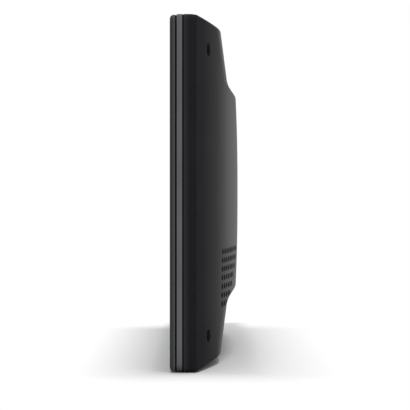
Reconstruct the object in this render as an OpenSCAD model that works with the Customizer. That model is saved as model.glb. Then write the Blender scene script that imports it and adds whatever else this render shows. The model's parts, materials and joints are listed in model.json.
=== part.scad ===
// Slim glass-fronted driver display with a crowned back, standing upright on its lower edge.
// Frame: X runs side to side, the glass faces -Y, Z is up, origin under the middle of the base.
// "Depth" in the comments is the distance behind the front face of the glass.

/* [Body] */
// Width, side to side
body_w = 176; // [170:1:190]
// Height, standing upright
body_h = 100; // [97:1:110]
// Greatest depth, front glass to the middle of the back
body_t = 20.5; // [19.5:0.5:24]
// Depth of the thin side edges, front glass to the crease
edge_t = 7.4; // [7:0.1:8.5]
// Corner radius of the outline seen from the front
corner_r = 2.5; // [2:0.5:6]

/* [Front stack] */
// Thickness of the cover glass
glass_t = 1.5; // [1.2:0.1:2]
// How far the glass stops short of the outline
glass_inset = 0.2; // [0.1:0.1:0.6]
// Thickness of the gasket behind the glass
front_gasket_t = 0.4; // [0.3:0.05:0.6]
// Thickness of the band that shows round the edge
band_t = 1.6; // [1.2:0.1:2]
// Thickness of the gasket between the band and the rear shell
rear_gasket_t = 0.4; // [0.3:0.05:0.6]
// How far the gasket behind the glass sits back from the outline
gasket_setback = 0.3; // [0.2:0.1:1.2]
// How far the gasket between the band and the rear shell sits back from the outline
rear_setback = 0.1; // [0.05:0.05:1.2]

/* [Display] */
// Distance of the liquid crystal panel from the sides
bezel_side = 7; // [6.5:0.1:13]
// Distance of the liquid crystal panel from the top and the base
bezel_edge = 4.5; // [4:0.1:8]
// Thickness of the liquid crystal panel
lcd_t = 1.5; // [1.2:0.1:1.8]
// Thickness of the backlight tray
backlight_t = 2.2; // [1.8:0.1:2.6]
// Room left round the panel in its pocket
lcd_gap = 0.3; // [0.2:0.1:0.5]
// Thickness of the plate that carries the display and the board
plate_t = 1.2; // [1:0.1:1.6]
// Thickness of the skirt round the display pocket
skirt_t = 1.4; // [1:0.1:1.6]
// Width of the display's flexible lead
flex_w = 16; // [12:1:20]
// Thickness of the display's flexible lead
flex_t = 0.2; // [0.15:0.05:0.3]
// Distance of the flexible lead's middle from the board's left-hand end
flex_x = 16; // [12:1:26]
// Height of the flexible lead above the base
flex_z = 27; // [24:1:32]

/* [Rear shell] */
// Wall thickness of the rear shell
wall_t = 1.8; // [1.5:0.1:2.2]
// How much shallower the upper and lower rear edges are than the middle of the back
wing_drop = 6.2; // [5.2:0.1:6.4]
// How far the rear edges fall in from the top and the base
edge_fall = 2.4; // [2.2:0.1:3.2]
// Depth at which the sloping top and base walls start
slope_start = 6; // [5.8:0.1:7.2]
// Radius of the sloping top and base walls
slope_r = 60; // [40:5:120]
// Lean of the upper and lower strips of the back, in degrees
wing_angle = 8.2; // [5:0.1:9]
// Height of the raised panel across the back
panel_h = 59; // [54:1:62]
// Radius of the raised panel's vertical bow
panel_bow_r = 450; // [450:50:900]
// Angle of the raised panel's flanks, in degrees
flank_angle = 48; // [40:1:55]
// Radius of the hollow at the foot of the flanks
blend_r = 5; // [4:1:8]

/* [Screws] */
// Distance of the rear shell's screws from the sides
shell_screw_side = 12.3; // [11:0.1:14]
// Distance of the rear shell's screws from the top and the base
shell_screw_edge = 9.3; // [8.5:0.1:11]
// Radius of the round recess over each of those screws
recess_r = 1.85; // [1.8:0.05:2.2]
// Thickness of the seat under each of those screw heads
seat_t = 1; // [0.8:0.1:1.2]
// Height of the frame bosses under those seats
boss_h = 1.1; // [0.8:0.1:1.3]
// Radius of the screw bosses
boss_r = 3.1; // [2.9:0.1:3.6]
// Radius of the screw shanks
screw_r = 0.95; // [0.8:0.05:1.05]
// Radius of the screw heads
head_r = 1.6; // [1.4:0.05:1.7]
// Thickness of the screw heads
head_t = 1.2; // [1:0.1:1.4]
// Distance between the flats of the hexagon drive
drive_w = 1.5; // [1.2:0.1:1.7]
// Depth of the hexagon drive
drive_t = 0.7; // [0.5:0.1:0.8]

/* [Main board] */
// Distance of the board's left-hand end from the side
board_left = 22; // [20:1:26]
// Distance of the board's right-hand end from the speaker
board_right = 4.8; // [2.8:0.1:5.8]
// Gap from the base to the board
board_lift = 4.5; // [4:0.1:5.5]
// Gap from the board to the top
board_drop = 9; // [8.5:0.1:10]
// Thickness of the board
board_t = 1.2; // [1:0.1:1.6]
// Height of the standoffs that carry the board
standoff_h = 1.4; // [1.3:0.1:1.6]
// Distance of the board's screws from its edges
board_screw_edge = 4.5; // [4:0.1:6]

/* [Board parts] */
// Size of the shield can across
can_w = 34; // [30:1:38]
// Size of the shield can up and down
can_h = 26; // [22:1:30]
// Height of the shield can off the board
can_t = 1.8; // [1.6:0.1:2.2]
// Sheet thickness of the shield can
can_sheet = 0.25; // [0.2:0.05:0.3]
// Distance of the shield can's middle from the board's left-hand end
can_x = 30; // [26:1:32]
// Side of the square processor
processor_w = 14; // [10:1:16]
// Thickness of the processor
processor_t = 1.1; // [0.9:0.1:1.2]
// Width of each memory chip
memory_w = 8; // [6:1:9]
// Length of each memory chip
memory_h = 10; // [8:1:11]
// Thickness of each memory chip
memory_t = 0.9; // [0.7:0.1:1.1]
// Side of the square satellite antenna
antenna_w = 18; // [15:1:20]
// Thickness of the satellite antenna
antenna_t = 3; // [2:0.5:3]
// Thickness of the metal patch on the antenna
patch_t = 0.15; // [0.1:0.05:0.2]
// Rim of bare ceramic round that patch
patch_rim = 2; // [1.5:0.5:4]
// Distance of the antenna's middle from the board's left-hand end
antenna_x = 45; // [42:1:46]
// Width of the radio module
radio_w = 14; // [12:1:15]
// Length of the radio module
radio_h = 16; // [12:1:17]
// Thickness of the radio module
radio_t = 1.4; // [1:0.1:1.6]
// Distance of the radio module from the board's left-hand end
radio_inset = 3; // [2:0.5:4]

/* [Battery] */
// Width of the battery
battery_w = 44; // [36:1:46]
// Height of the battery
battery_h = 36; // [30:1:40]
// Thickness of the battery
battery_t = 3.5; // [2.5:0.1:3.7]
// Gap from the board's end to the battery
battery_gap = 8; // [6:0.5:9]
// Gap from the battery down to the speaker
battery_drop = 9; // [8:0.5:12]
// Corner radius of the battery
battery_r = 2; // [1:0.5:4]
// Thickness of the sticky pad under the battery
pad_t = 0.3; // [0.2:0.05:0.4]
// How far that pad stops short of the battery's edge
pad_margin = 2; // [1:0.5:4]
// Radius of the small wires
wire_r = 0.3; // [0.2:0.05:0.3]
// Distance between neighbouring wires
wire_pitch = 1.5; // [1.2:0.1:2]

/* [Speaker] */
// Width of the speaker
speaker_w = 42; // [40:1:43]
// Height of the speaker
speaker_h = 22; // [20:1:23]
// Thickness of the speaker's frame
speaker_t = 4.3; // [4:0.1:4.5]
// Corner radius of the speaker
speaker_r = 4; // [3.5:0.5:7]
// Height of the posts under the speaker's ears
speaker_lift = 0.5; // [0.4:0.1:0.7]
// Distance of the speaker from the side
speaker_x = 27.2; // [27:0.1:28]
// Middle of the speaker, above the base
speaker_z = 25; // [24.5:0.1:26]
// Rim of each screw ear round its screw head
ear_rim = 1; // [0.8:0.1:1.4]
// Rim of the speaker's frame
speaker_rim = 2; // [1.5:0.1:2.5]
// Floor of the speaker's frame
speaker_floor = 1.2; // [1:0.1:1.4]
// Radius of the speaker's magnet
magnet_r = 6.5; // [5:0.5:7]
// Thickness of the speaker's magnet
magnet_t = 1.6; // [1.2:0.1:1.7]
// Thickness of the cone's sheet
cone_t = 0.4; // [0.3:0.05:0.5]
// Radius of the dust cap on the cone
cap_r = 4; // [3:0.5:5]
// Height of the dust cap on the cone
cap_t = 0.5; // [0.3:0.1:0.6]
// Travel of the cone either way
cone_travel = 0.3; // [0.2:0.05:0.35]
// Thickness of the sealing ring on the speaker
speaker_seal_t = 0.6; // [0.4:0.1:0.6]
// Thickness of the wall that meets that ring
chamber_t = 1.2; // [1:0.1:1.6]
// Thickness of the dust mesh behind the grille
mesh_t = 0.3; // [0.2:0.05:0.4]

/* [Grille] */
// Number of rows of slots
grille_rows = 7; // [5:1:7]
// Slots in the top row
grille_slots = 10; // [8:1:10]
// Height of the top row above the base
grille_top = 32.5; // [32:0.1:33.5]
// Distance between rows
row_pitch = 2.56; // [2.2:0.02:2.6]
// Distance between slots in a row
slot_pitch = 3.6; // [3.3:0.1:3.8]
// Length of each slot
slot_l = 2.1; // [1.9:0.1:3]
// Width of each slot
slot_h = 1.4; // [0.9:0.1:1.5]
// Distance of the top row's outer end from the side
grille_outer = 30.3; // [30:0.1:33]
// Outward step from row to row
grille_step = 0.24; // [0:0.01:0.3]

/* [Power button] */
// Middle of the button, from the middle of the body towards -X
button_x = 45; // [42:1:52]
// Length of the button
button_l = 10; // [8:0.5:12]
// Width of the button
button_h = 3.2; // [2.8:0.1:3.4]
// How far the button stands proud of the wall
button_proud = 0.35; // [0.2:0.05:0.5]
// Travel of the button
button_travel = 0.4; // [0.2:0.05:0.4]
// Width of the retaining flange round the button
flange_w = 0.7; // [0.5:0.1:1]
// Thickness of that flange
flange_t = 1; // [0.8:0.1:1.2]
// Gap round the button in its hole
button_gap = 0.25; // [0.2:0.05:0.3]
// Width of the switch
switch_w = 4.7; // [4:0.1:6]
// Height of the switch
switch_h = 3.5; // [3:0.1:4]
// Thickness of the switch
switch_t = 1.65; // [1.5:0.05:2]
// How far the switch overhangs the board
switch_overhang = 1.1; // [0.8:0.1:1.5]
// Width of the switch's plunger
plunger_w = 2; // [1.6:0.1:2.4]
// Thickness of the switch's plunger
plunger_t = 0.8; // [0.7:0.05:0.9]
// How far the plunger stands out of the switch
plunger_out = 1; // [0.8:0.1:1.2]
// How far the plunger reaches into the switch
plunger_in = 0.8; // [0.6:0.1:1]

/* [Sockets] */
// Width of the charging socket
usb_w = 8.94; // [8.94:0.01:9]
// Thickness of the charging socket
usb_t = 3.2; // [3.2:0.05:3.4]
// Length of the charging socket
usb_l = 7.4; // [6.8:0.1:8]
// Sheet thickness of the charging socket
usb_sheet = 0.3; // [0.25:0.05:0.35]
// Height of the charging socket's mouth above the base
usb_lift = 2.3; // [2:0.1:2.6]
// Middle of the charging socket, from the middle towards -X
usb_x = 6; // [4:0.5:8]
// Width of the contact tongue in the charging socket
tongue_w = 6.7; // [6.5:0.05:6.9]
// Thickness of the contact tongue
tongue_t = 0.7; // [0.6:0.05:0.8]
// How far the tongue stops behind the mouth
tongue_back = 1.3; // [1:0.1:1.6]
// Width of the memory card
card_w = 11; // [11:0.05:11.2]
// Length of the memory card
card_l = 15; // [14.8:0.1:15.2]
// Thickness of the memory card
card_t = 0.8; // [0.7:0.05:1]
// Height of the card's outer end above the base, pushed home
card_lift = 2.3; // [2.1:0.1:2.6]
// Middle of the card, from the middle towards -X
card_x = 34; // [32:0.5:38]
// Gap round the card in its slot
card_gap = 0.15; // [0.1:0.05:0.2]
// Side walls of the card slot
card_side = 1.3; // [1:0.1:1.6]
// Sheet thickness of the card slot
card_sheet = 0.2; // [0.15:0.05:0.25]
// Distance of the card slot's mouth from the board's edge
slot_inset = 0.7; // [0.4:0.1:1.2]
// Gap round the sockets and the card where they pass the shell
port_gap = 0.35; // [0.3:0.05:0.5]

/* [Ball socket] */
// Radius of the socket for a 17 mm ball
ball_r = 8.6; // [8.55:0.05:8.7]
// Length of the socket's straight wall
ball_depth = 6.6; // [6:0.1:6.8]
// Wall of the socket
cup_wall = 2.2; // [1.8:0.1:2.4]
// Floor of the socket
cup_floor = 1.2; // [1:0.1:1.4]
// Bevel at the socket's mouth
mouth_bevel = 0.4; // [0.2:0.1:0.6]
// Reach of the socket's flange past its wall
cup_flange_w = 3.8; // [3.6:0.1:4]
// Thickness of the socket's flange
cup_flange_t = 1.2; // [1:0.1:1.4]
// Depth of the flange's back face below the rim
cup_flange_drop = 3.8; // [3.6:0.1:4.2]
// Number of screws in the flange
cup_screws = 3; // [3:1:4]
// Thickness of the rubber pad let into the socket's floor
cup_pad_t = 0.8; // [0.6:0.1:1]
// Ledge left round that pad
pad_ledge = 1; // [0.6:0.1:1.5]
// Gap round the socket in the shell
cup_gap = 0.15; // [0.1:0.05:0.3]

/* [Hidden] */
$fn = 64;
// Points on each arc of an outline
arc_steps = 8;
// Points on each end of a grille slot
slot_steps = 4;
// Overshoot of cuts past a face
over = 1;
// Room between a screw and the thread it cuts
thread_gap = 0.03;
// Room between a screw and a plain hole
screw_gap = 0.2;
// Room between a sheet and the curved wall it lies on
skin_gap = 0.05;
// Least solid left under a blind screw hole
blind_floor = 0.3;
// Least corner radius of an inset outline
least_r = 0.5;

half_w = body_w / 2;
half_h = body_h / 2;

// Depths of the layers, front to back
band_f = glass_t + front_gasket_t;
seal_f = band_f + band_t;
shell_f = seal_f + rear_gasket_t;
tray_f = glass_t + lcd_t;
plate_f = tray_f + backlight_t;
plate_back = plate_f + plate_t;
board_f = plate_back + standoff_h;
board_back = board_f + board_t;
boss_f = plate_back + boss_h;
seat_back = boss_f + seat_t;
lcd_w = body_w - 2 * bezel_side;
lcd_h = body_h - 2 * bezel_edge;
pocket_w = lcd_w + 2 * lcd_gap;
pocket_h = lcd_h + 2 * lcd_gap;

// Crown of the back, an arc from side edge to side edge
crown_rise = body_t - edge_t;
crown_r = (half_w * half_w + crown_rise * crown_rise) / (2 * crown_rise);

// Corners of the back's side outline, as depth and height from the middle
slope_top = [slope_start, half_h];
wing_edge = [body_t - wing_drop, half_h - edge_fall];
panel_edge = [body_t - panel_bow_r + sqrt(pow(panel_bow_r, 2) - pow(panel_h / 2, 2)), panel_h / 2];
slope_o = arc_centre(slope_top, wing_edge, slope_r);
bow_o = [body_t - panel_bow_r, 0];
wing_c = unit(wing_angle) * wing_edge;
flank_c = unit(flank_angle) * panel_edge;
blend_o = crossing(wing_angle, wing_c + blend_r, flank_angle, flank_c + blend_r);

// Speaker, from its posts to its sealing ring
speaker_end = half_w - speaker_x - speaker_w;
speaker_at = [speaker_end + speaker_w / 2, speaker_z - half_h];
speaker_f = plate_back + speaker_lift;
speaker_back = speaker_f + speaker_t;
chamber_f = speaker_back + speaker_seal_t;
magnet_back = speaker_f + speaker_floor + magnet_t;
ear_t = speaker_floor;
ear_r = head_r + ear_rim;
ear_x = speaker_w / 2 - speaker_r - ear_r;
ear_z = speaker_h / 2 + ear_r - skin_gap;
ear_at = [speaker_at + [-ear_x, ear_z], speaker_at + [ear_x, -ear_z]];
cone_room = 0.4;
cone_w = speaker_w - 2 * (speaker_rim + cone_room);
cone_h = speaker_h - 2 * (speaker_rim + cone_room);
cone_f = magnet_back + cone_travel + cone_room;

// Ends and edges of the board, and what is placed from its left-hand end
board_start = board_left - half_w;
board_end = speaker_end - board_right;
board_low = board_lift - half_h;
board_top = half_h - board_drop;
flex_at = board_start + flex_x;
can_at = board_start + can_x;
antenna_at = board_start + antenna_x;

// Screw places, as [x, height from the middle]
shell_screw_at = corners(half_w - shell_screw_side, half_h - shell_screw_edge);
board_screw_at = [for (x = [board_start + board_screw_edge, board_end - board_screw_edge],
                       z = [board_low + board_screw_edge, board_top - board_screw_edge]) [x, z]];

// Switch on the board's top edge, and the button over it
switch_top = board_top + switch_overhang;
button_f = board_back + switch_t / 2;
plunger_top = switch_top + plunger_out;
flange_half = button_h / 2 + flange_w;
flange_top = wall_height(button_f + flange_half, wall_t) - button_gap;
stem_gap = 0.1;
plunger_room = 0.2;

// Sockets on the board's lower edge
usb_f = board_back + usb_t / 2;
card_f = board_back + card_sheet + card_gap;
slot_w = card_w + 2 * (card_gap + card_side);
slot_t = card_t + 2 * (card_gap + card_sheet);
slot_low = board_low + slot_inset;
slot_top = card_lift - half_h + card_l + 2 * card_gap + card_side;

// Ball socket, from the rim inwards
cup_floor_f = body_t - ball_depth - mouth_bevel;
cup_pad_f = cup_floor_f - cup_pad_t;
cup_front = cup_pad_f - cup_floor;
cup_r = ball_r + cup_wall;
cup_flange_back = body_t - cup_flange_drop;
cup_flange_f = cup_flange_back - cup_flange_t;
cup_flange_r = cup_r + cup_flange_w;
cup_screw_r = cup_r + cup_flange_w / 2;
cup_screw_at = [for (k = [0 : cup_screws - 1]) cup_screw_r * unit(90 + 360 * k / cup_screws)];
cup_screw_l = 2.4;

// Battery and its plug
battery_x = board_end + battery_gap;
battery_z = speaker_at[1] + speaker_h / 2 + battery_drop;
battery_f = plate_back + pad_t;
plug_w = 6;
plug_h = 8;
plug_t = 1.8;
plug_inset = 1;
plug_at = [board_end - plug_inset - plug_w, battery_z + battery_h / 2 - plug_h / 2];
pad_inset = 2;
lead_f = board_back + wire_r;
lead_rise = plug_at[1] + plug_h / 2;

// Display lead's connector on the front of the board
connector_rim = 1;
connector_w = flex_w + 2 * connector_rim;
connector_h = 4;
connector_t = 1.2;
flex_reach = 2;
flex_f = board_f - connector_t / 2;
flex_low = flex_z - half_h;

// Plane geometry
function unit(a) = [cos(a), sin(a)];
function bearing(v) = atan2(v[1], v[0]);
function arc(o, r, a, b, n = arc_steps) = [for (k = [0 : n]) o + r * unit(a + (b - a) * k / n)];
function corners(x, z) = [for (i = [-1, 1], k = [-1, 1]) [i * x, k * z]];

// Centre of the arc of radius r from p to q that bulges to the left of that way
function arc_centre(p, q, r) =
    let (d = q - p, h = norm(d) / 2, u = d / norm(d))
    (p + q) / 2 + sqrt(r * r - h * h) * [u[1], -u[0]];

// Crossing of two lines, each given by the angle of its normal and its distance from zero
function crossing(a, c, b, d) = [c * sin(b) - d * sin(a), d * cos(a) - c * cos(b)] / sin(b - a);

// Crossing of such a line with a circle, on the side given by s
function meet(a, c, o, r, s) =
    let (h = c - unit(a) * o)
    o + h * unit(a) + s * sqrt(r * r - h * h) * unit(a + 90);

// Height of the sloping top wall at depth f, inset by i
function wall_height(f, i) = slope_o[1] + sqrt(pow(slope_r - i, 2) - pow(f - slope_o[0], 2));

// Outlines
function rounded(w, h, r) = [for (q = [[1, 1, 0], [-1, 1, 90], [-1, -1, 180], [1, -1, 270]])
    each arc([q[0] * (w / 2 - r), q[1] * (h / 2 - r)], r, q[2], q[2] + 90)];
function pill(w, h, n = arc_steps) =
    concat(arc([(w - h) / 2, 0], h / 2, -90, 90, n), arc([(h - w) / 2, 0], h / 2, 90, 270, n));

// Upper half of the back's side outline, inset by i: sloping wall, strip, hollow, flank, raised panel
function upper_outline(i) =
    let (r = slope_r - i,
         from = asin((half_h - i - slope_o[1]) / r),
         edge = meet(wing_angle, wing_c - i, slope_o, r, 1),
         crest = meet(flank_angle, flank_c - i, bow_o, panel_bow_r - i, -1))
    concat(arc(slope_o, r, from, bearing(edge - slope_o)),
           arc(blend_o, blend_r + i, 180 + wing_angle, 180 + flank_angle),
           arc(bow_o, panel_bow_r - i, bearing(crest - bow_o), 0));
function side_outline(i) =
    let (u = upper_outline(i))
    concat([[0, half_h - i]], u, [for (k = [len(u) - 2 : -1 : 0]) [u[k][0], -u[k][1]]], [[0, i - half_h]]);

// Front-view outline made solid from depth f to depth b
module slab(f, b) {
    translate([0, b - body_t / 2, half_h])
        rotate([90, 0, 0])
            linear_extrude(b - f)
                children();
}

// Plan-view outline made solid between two heights from the middle
module column(low, high) {
    translate([0, -body_t / 2, half_h + low])
        linear_extrude(high - low)
            children();
}

// Side-view outline made solid across the full width
module across() {
    translate([-half_w, -body_t / 2, half_h])
        rotate([90, 0, 90])
            linear_extrude(body_w)
                children();
}

// Box with its low corner at x, depth f and height z from the middle
module box(x, f, z, size) {
    translate([x, f - body_t / 2, half_h + z])
        cube(size);
}

// Round bar along the depth at [x, z], from depth f to depth b
module rod(at, f, b, r) {
    translate([at[0], f - body_t / 2, half_h + at[1]])
        rotate([-90, 0, 0])
            cylinder(h = b - f, r = r);
}

// Round bar across the width at depth f and height z
module wire(x, end, f, z) {
    translate([x, f - body_t / 2, half_h + z])
        rotate([0, 90, 0])
            cylinder(h = end - x, r = wire_r);
}

// Pan head screw whose head starts at depth seat and stands towards the back, or to the front with way = -1
module screw(at, seat, length, way = 1) {
    translate([at[0], seat - body_t / 2, half_h + at[1]])
        rotate([-90 * way, 0, 0])
            difference() {
                union() {
                    cylinder(h = head_t, r = head_r);
                    translate([0, 0, -length])
                        cylinder(h = length, r = screw_r);
                }
                translate([0, 0, head_t - drive_t])
                    cylinder(h = drive_t + over, r = drive_w / sqrt(3), $fn = 6);
            }
}

// Body of the back, inset by i, from depth f
module back_form(i, f) {
    intersection() {
        translate([0, -body_t / 2, 0])
            linear_extrude(body_h)
                intersection() {
                    translate([0, body_t - crown_r])
                        circle(r = crown_r - i);
                    translate([i - half_w, 0])
                        square([body_w - 2 * i, body_t]);
                }
        across()
            polygon(side_outline(i));
        slab(f, body_t)
            polygon(rounded(body_w - 2 * i, body_h - 2 * i, max(corner_r - i, least_r)));
    }
}

module cover_glass() {
    color("#1b1d20")
        slab(0, glass_t)
            polygon(rounded(body_w - 2 * glass_inset, body_h - 2 * glass_inset, corner_r - glass_inset));
}

module front_gasket() {
    color("#0c0c0d")
        slab(glass_t, band_f)
            difference() {
                polygon(rounded(body_w - 2 * gasket_setback, body_h - 2 * gasket_setback,
                                corner_r - gasket_setback));
                square([pocket_w, pocket_h], center = true);
            }
}

module lcd_panel() {
    color("#101418")
        slab(glass_t, tray_f)
            square([lcd_w, lcd_h], center = true);
}

module backlight_tray() {
    color("#c9ccd0")
        slab(tray_f, plate_f)
            square([lcd_w, lcd_h], center = true);
}

// Flexible lead from the tray through the plate, bent up to its connector
module lcd_flex() {
    color("#c28a3a") {
        box(flex_at - flex_w / 2, plate_f, flex_low, [flex_w, flex_f - plate_f + flex_t, flex_t]);
        box(flex_at - flex_w / 2, flex_f, flex_low, [flex_w, flex_t, flex_reach]);
    }
}

module lcd_connector() {
    color("#e8e2d0")
        box(flex_at - connector_w / 2, board_f - connector_t, flex_low + flex_reach,
            [connector_w, connector_t, connector_h]);
}

// Band, skirt and plate in one casting, with standoffs and bosses on its back
module mid_frame() {
    hole_r = screw_r + thread_gap;
    color("#5d5e60")
        difference() {
            union() {
                slab(band_f, seal_f)
                    polygon(rounded(body_w, body_h, corner_r));
                slab(seal_f, plate_back)
                    square([pocket_w + 2 * skirt_t, pocket_h + 2 * skirt_t], center = true);
                for (p = shell_screw_at)
                    rod(p, plate_f, boss_f, boss_r);
                for (p = board_screw_at)
                    rod(p, plate_f, board_f, boss_r);
                for (p = ear_at)
                    rod(p, plate_f, speaker_f, ear_r);
            }
            slab(band_f - over, plate_f)
                square([pocket_w, pocket_h], center = true);
            for (p = concat(shell_screw_at, board_screw_at, ear_at))
                rod(p, plate_f + blind_floor, board_f + over, hole_r);
            box(flex_at - flex_w / 2 - lcd_gap, plate_f - over, flex_low - lcd_gap,
                [flex_w + 2 * lcd_gap, plate_t + 2 * over, flex_t + 2 * lcd_gap]);
        }
}

module rear_gasket() {
    inner = wall_t + skin_gap;
    color("#0c0c0d")
        slab(seal_f, shell_f)
            difference() {
                polygon(rounded(body_w - 2 * rear_setback, body_h - 2 * rear_setback,
                                corner_r - rear_setback));
                square([body_w - 2 * inner, body_h - 2 * inner], center = true);
            }
}

// Rows of slots in the back, each row one slot shorter than the row above it
module grille() {
    slab(shell_f, body_t + over)
        for (row = [0 : grille_rows - 1])
            for (k = [0 : grille_slots - row - 1])
                translate([half_w - grille_outer + row * grille_step - slot_l / 2 - k * slot_pitch,
                           grille_top - half_h - row * row_pitch])
                    polygon(pill(slot_l, slot_h, slot_steps));
}

module rear_shell() {
    color("#222326")
        difference() {
            union() {
                difference() {
                    back_form(0, shell_f);
                    back_form(wall_t, shell_f - over);
                }
                intersection() {
                    back_form(wall_t / 2, shell_f);
                    union() {
                        for (p = shell_screw_at)
                            rod(p, boss_f, body_t, boss_r);
                        rod([0, 0], cup_flange_back, body_t, cup_flange_r);
                        slab(chamber_f, body_t)
                            translate(speaker_at)
                                difference() {
                                    polygon(rounded(speaker_w, speaker_h, speaker_r));
                                    polygon(rounded(speaker_w - 2 * chamber_t, speaker_h - 2 * chamber_t,
                                                    speaker_r - chamber_t));
                                }
                    }
                }
            }
            for (p = shell_screw_at) {
                rod(p, seat_back, body_t, recess_r);
                rod(p, boss_f - over, body_t, screw_r + screw_gap);
            }
            rod([0, 0], cup_flange_back - over, body_t + over, cup_r + cup_gap);
            for (p = cup_screw_at)
                rod(p, cup_flange_back - over, cup_flange_back + cup_screw_l, screw_r + thread_gap);
            grille();
            column(board_top, half_h + over)
                translate([-button_x, button_f])
                    polygon(pill(button_l + 2 * button_gap, button_h + 2 * button_gap));
            column(-half_h - over, board_low)
                translate([-usb_x, usb_f])
                    polygon(pill(usb_w + 2 * port_gap, usb_t + 2 * port_gap));
            box(-card_x - card_w / 2 - port_gap, card_f - port_gap, -half_h - over,
                [card_w + 2 * port_gap, card_t + 2 * port_gap, board_lift + over]);
        }
}

module main_board() {
    color("#1f5a3a")
        difference() {
            box(board_start, board_f, board_low,
                [board_end - board_start, board_t, board_top - board_low]);
            for (p = board_screw_at)
                rod(p, board_f - over, board_back + over, screw_r + screw_gap);
        }
}

module processor() {
    color("#2a2c2e")
        box(can_at - can_w / 4 - processor_w / 2, board_back, -processor_w / 2,
            [processor_w, processor_t, processor_w]);
}

// Two memory chips beside the processor
module memory_chips() {
    color("#242527")
        for (side = [-1, 1])
            box(can_at + can_w / 4 - memory_w / 2, board_back, side * can_h / 4 - memory_h / 2,
                [memory_w, memory_t, memory_h]);
}

// Soft pad that carries heat from the processor to the can
module thermal_pad() {
    color("#9aa7b5")
        box(can_at - can_w / 4 - processor_w / 2, board_back + processor_t, -processor_w / 2,
            [processor_w, can_t - can_sheet - processor_t, processor_w]);
}

module shield_can() {
    color("#b9bcc0")
        difference() {
            box(can_at - can_w / 2, board_back, -can_h / 2, [can_w, can_t, can_h]);
            box(can_at - can_w / 2 + can_sheet, board_back - over, -can_h / 2 + can_sheet,
                [can_w - 2 * can_sheet, can_t - can_sheet + over, can_h - 2 * can_sheet]);
        }
}

module radio_module() {
    color("#b4b7ba")
        box(board_start + radio_inset, board_back, board_top - 2 * board_screw_edge - radio_h,
            [radio_w, radio_t, radio_h]);
}

module gnss_antenna() {
    color("#c9b79a")
        box(antenna_at - antenna_w / 2, board_back, board_top - antenna_w,
            [antenna_w, antenna_t, antenna_w]);
}

module gnss_patch() {
    side = antenna_w - 2 * patch_rim;
    color("#cfd1d4")
        box(antenna_at - side / 2, board_back + antenna_t, board_top - antenna_w + patch_rim,
            [side, patch_t, side]);
}

module battery() {
    color("#3a4a66")
        slab(battery_f, battery_f + battery_t)
            translate([battery_x + battery_w / 2, battery_z + battery_h / 2])
                polygon(rounded(battery_w, battery_h, battery_r));
}

module battery_pad() {
    color("#8a8d90")
        box(battery_x + pad_margin, plate_back, battery_z + pad_margin,
            [battery_w - 2 * pad_margin, pad_t, battery_h - 2 * pad_margin]);
}

module battery_plug() {
    color("#e8e2d0")
        box(plug_at[0], board_back, plug_at[1], [plug_w, plug_t, plug_h]);
}

module battery_leads() {
    color("#b03028")
        for (k = [-1, 0, 1])
            wire(plug_at[0] + plug_w, battery_x, lead_f, lead_rise + k * wire_pitch);
}

// Frame of the speaker, with two ears for its screws
module speaker_frame() {
    color("#2b2b2d")
        difference() {
            union() {
                slab(speaker_f, speaker_back)
                    translate(speaker_at)
                        polygon(rounded(speaker_w, speaker_h, speaker_r));
                for (p = ear_at)
                    slab(speaker_f, speaker_f + ear_t) {
                        translate(p)
                            circle(r = ear_r);
                        translate([p[0] - ear_r, min(p[1], speaker_at[1])])
                            square([2 * ear_r, abs(p[1] - speaker_at[1])]);
                    }
            }
            slab(speaker_f + speaker_floor, speaker_back + over)
                translate(speaker_at)
                    polygon(rounded(speaker_w - 2 * speaker_rim, speaker_h - 2 * speaker_rim,
                                    speaker_r - speaker_rim));
            for (p = ear_at)
                rod(p, speaker_f - over, speaker_f + ear_t + over, screw_r + screw_gap);
        }
}

module speaker_magnet() {
    color("#8f9296")
        rod(speaker_at, speaker_f + speaker_floor, magnet_back, magnet_r);
}

module speaker_cone() {
    color("#171718") {
        slab(cone_f, cone_f + cone_t)
            translate(speaker_at)
                polygon(rounded(cone_w, cone_h, speaker_r - speaker_rim));
        rod(speaker_at, cone_f, cone_f + cone_t + cap_t, cap_r);
    }
}

module speaker_seal() {
    color("#141415")
        slab(speaker_back, chamber_f)
            translate(speaker_at)
                difference() {
                    polygon(rounded(speaker_w, speaker_h, speaker_r));
                    polygon(rounded(speaker_w - 2 * chamber_t, speaker_h - 2 * chamber_t,
                                    speaker_r - chamber_t));
                }
}

// Dust mesh that lines the back behind the grille
module speaker_mesh() {
    margin = chamber_t + speaker_rim / 4;
    color("#0f0f10")
        intersection() {
            difference() {
                back_form(wall_t + skin_gap, shell_f);
                back_form(wall_t + skin_gap + mesh_t, shell_f - over);
            }
            slab(chamber_f, body_t)
                translate(speaker_at)
                    polygon(rounded(speaker_w - 2 * margin, speaker_h - 2 * margin, speaker_r - margin));
        }
}

module speaker_leads() {
    color("#b03028")
        for (k = [-1, 1])
            wire(board_end - pad_inset, speaker_end, lead_f, speaker_at[1] + k * wire_pitch / 2);
}

module speaker_screws() {
    color("#a9acb0")
        for (p = ear_at)
            screw(p, speaker_f + ear_t, speaker_f + ear_t - plate_f - 2 * blind_floor);
}

// Button with a retaining flange and a stem that meets the switch
module power_button() {
    color("#2a2b2e") {
        intersection() {
            column(flange_top - flange_t, half_h + over)
                translate([-button_x, button_f])
                    polygon(pill(button_l, button_h));
            across()
                polygon(side_outline(-button_proud));
        }
        column(flange_top - flange_t, flange_top)
            translate([-button_x, button_f])
                polygon(pill(button_l + 2 * flange_w, button_h + 2 * flange_w));
        box(-button_x - plunger_w / 2, button_f - plunger_t / 2, plunger_top + stem_gap,
            [plunger_w, plunger_t, flange_top - plunger_top - stem_gap]);
    }
}

module switch_body() {
    room = plunger_room;
    color("#c4c6c8")
        difference() {
            box(-button_x - switch_w / 2, board_back, switch_top - switch_h,
                [switch_w, switch_t, switch_h]);
            box(-button_x - plunger_w / 2 - room, button_f - plunger_t / 2 - room,
                switch_top - plunger_in - button_travel - room,
                [plunger_w + 2 * room, plunger_t + 2 * room, switch_h]);
        }
}

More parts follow.
